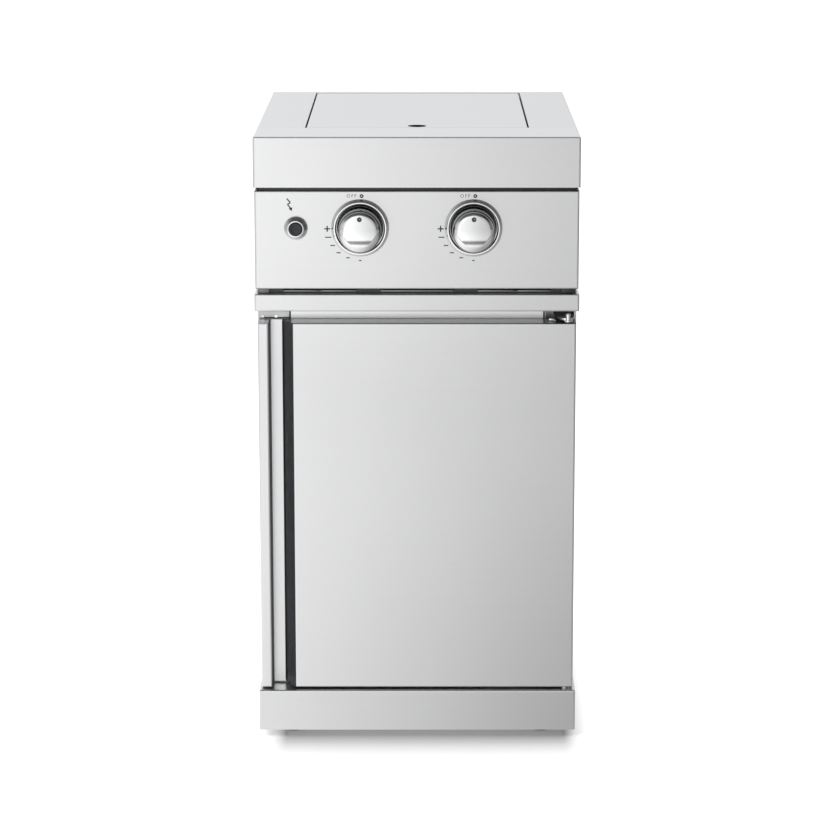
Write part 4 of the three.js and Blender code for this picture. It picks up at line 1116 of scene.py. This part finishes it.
def card_finish():
    """Brighter to the left, with a dark stripe near its lower edge."""
    material, tree, shader, where = new_material("card", 0.0)
    shader.inputs["Base Color"].default_value = BLACK
    shader.inputs["Specular IOR Level"].default_value = 0.0
    shader.inputs["Emission Color"].default_value = WHITE
    place = axes(tree, where)
    sideways = mapped(tree, place["X"], (-0.8, 0.8), (1.46, 0.62), smooth=True)
    stripe = [(0.165, 1.22), (0.20, 0.28), (0.285, 0.28), (0.31, 1.26), (0.45, 1.12), (0.60, 0.99)]
    upward = levels(tree, place["Z"], stripe, blue=0)
    feed(tree, shader.inputs["Emission Strength"], product(tree, sideways, upward))
    return material


floor = plane("floor", FLOOR_HALF, Matrix.Identity(4), floor_finish())
floor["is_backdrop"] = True

# A tall pale card in front, seen only in reflections
card_matrix = (Matrix.Translation(CARD_PLACE) @ Matrix.Diagonal((*CARD_SIZE, 1))
               @ Matrix.Rotation(math.pi / 2, 4, "X"))
card = plane("card", CARD_HALF, card_matrix, card_finish())
for ray in ("camera", "diffuse", "transmission", "shadow"):
    setattr(card, f"visible_{ray}", False)
card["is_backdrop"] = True


# Lights and surroundings
def soft_light(name, place, aim, width, height, power):
    data = bpy.data.lights.new(name, "AREA")
    data.shape = "RECTANGLE"
    data.size = width
    data.size_y = height
    data.energy = power
    light = bpy.data.objects.new(name, data)
    light.location = place
    light.rotation_euler = (Vector(aim) - Vector(place)).to_track_quat("-Z", "Y").to_euler()
    light.visible_camera = False
    light.visible_glossy = False
    scene.collection.objects.link(light)


soft_light("overhead", (0.0, -0.2, 3.6), (0, 0, 0), width=4.5, height=4.5, power=48)
soft_light("key", (-1.9, -1.7, 1.7), (0.0, -0.5, 0.2), width=1.3, height=1.8, power=30)


def background(tree, colour):
    node = add(tree, "ShaderNodeBackground")
    feed(tree, node.inputs["Color"], colour)
    return node.outputs[0]


def shader_mix(tree, factor, first, second):
    node = add(tree, "ShaderNodeMixShader")
    for socket, value in zip(node.inputs, (factor, first, second)):
        feed(tree, socket, value)
    return node.outputs[0]


# Tones of the room, from below to above and from left to right: darker above and to the right in
# front, and only a little darker to the right behind
FRONT_RISE = [(0.0, 0.62), (0.47, 0.96), (0.56, 1.22), (0.66, 1.16), (0.77, 0.34), (0.92, 0.10)]
FRONT_ACROSS = [(0.0, 0.45), (0.10, 0.62), (0.22, 0.82), (0.34, 1.0), (0.50, 0.99), (0.62, 0.74),
                (0.80, 0.16)]
REAR_RISE = [(0.0, 0.62), (0.47, 0.96), (0.56, 1.20), (0.66, 1.08), (0.85, 0.84), (1.0, 0.80)]
REAR_ACROSS = [(0.0, 1.0), (0.35, 1.0), (0.65, 0.74), (1.0, 0.70)]
REAR_START = (-0.10, 0.30)
EVEN_LIGHT = (0.35, 0.35, 0.352, 1)


def halved(tree, coordinate):
    """A coordinate from -1 to 1, turned into one from 0 to 1."""
    return total(tree, product(tree, coordinate, 0.5), 0.5)


def room(tree):
    """Colours of the surroundings by direction."""
    direction = axes(tree, add(tree, "ShaderNodeTexCoord").outputs["Generated"])
    rise = halved(tree, direction["Z"])
    across = halved(tree, direction["X"])
    front = times(tree, levels(tree, rise, FRONT_RISE), levels(tree, across, FRONT_ACROSS))
    rear = times(tree, levels(tree, rise, REAR_RISE), levels(tree, across, REAR_ACROSS))
    behind = mapped(tree, direction["Y"], REAR_START, (0, 1), smooth=True)
    return mixed(tree, behind, front, rear)


def studio():
    """White to the camera, even for soft light, and a room of light and shade in reflections."""
    world = bpy.data.worlds.new("studio")
    scene.world = world
    world.use_nodes = True
    tree = world.node_tree
    tree.nodes.clear()
    paths = add(tree, "ShaderNodeLightPath").outputs
    even = background(tree, EVEN_LIGHT)
    lit = shader_mix(tree, paths["Is Diffuse Ray"], background(tree, room(tree)), even)
    seen = shader_mix(tree, paths["Is Camera Ray"], lit, background(tree, WHITE))
    feed(tree, add(tree, "ShaderNodeOutputWorld").inputs["Surface"], seen)


studio()
scene.view_settings.view_transform = "Standard"

low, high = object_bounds()
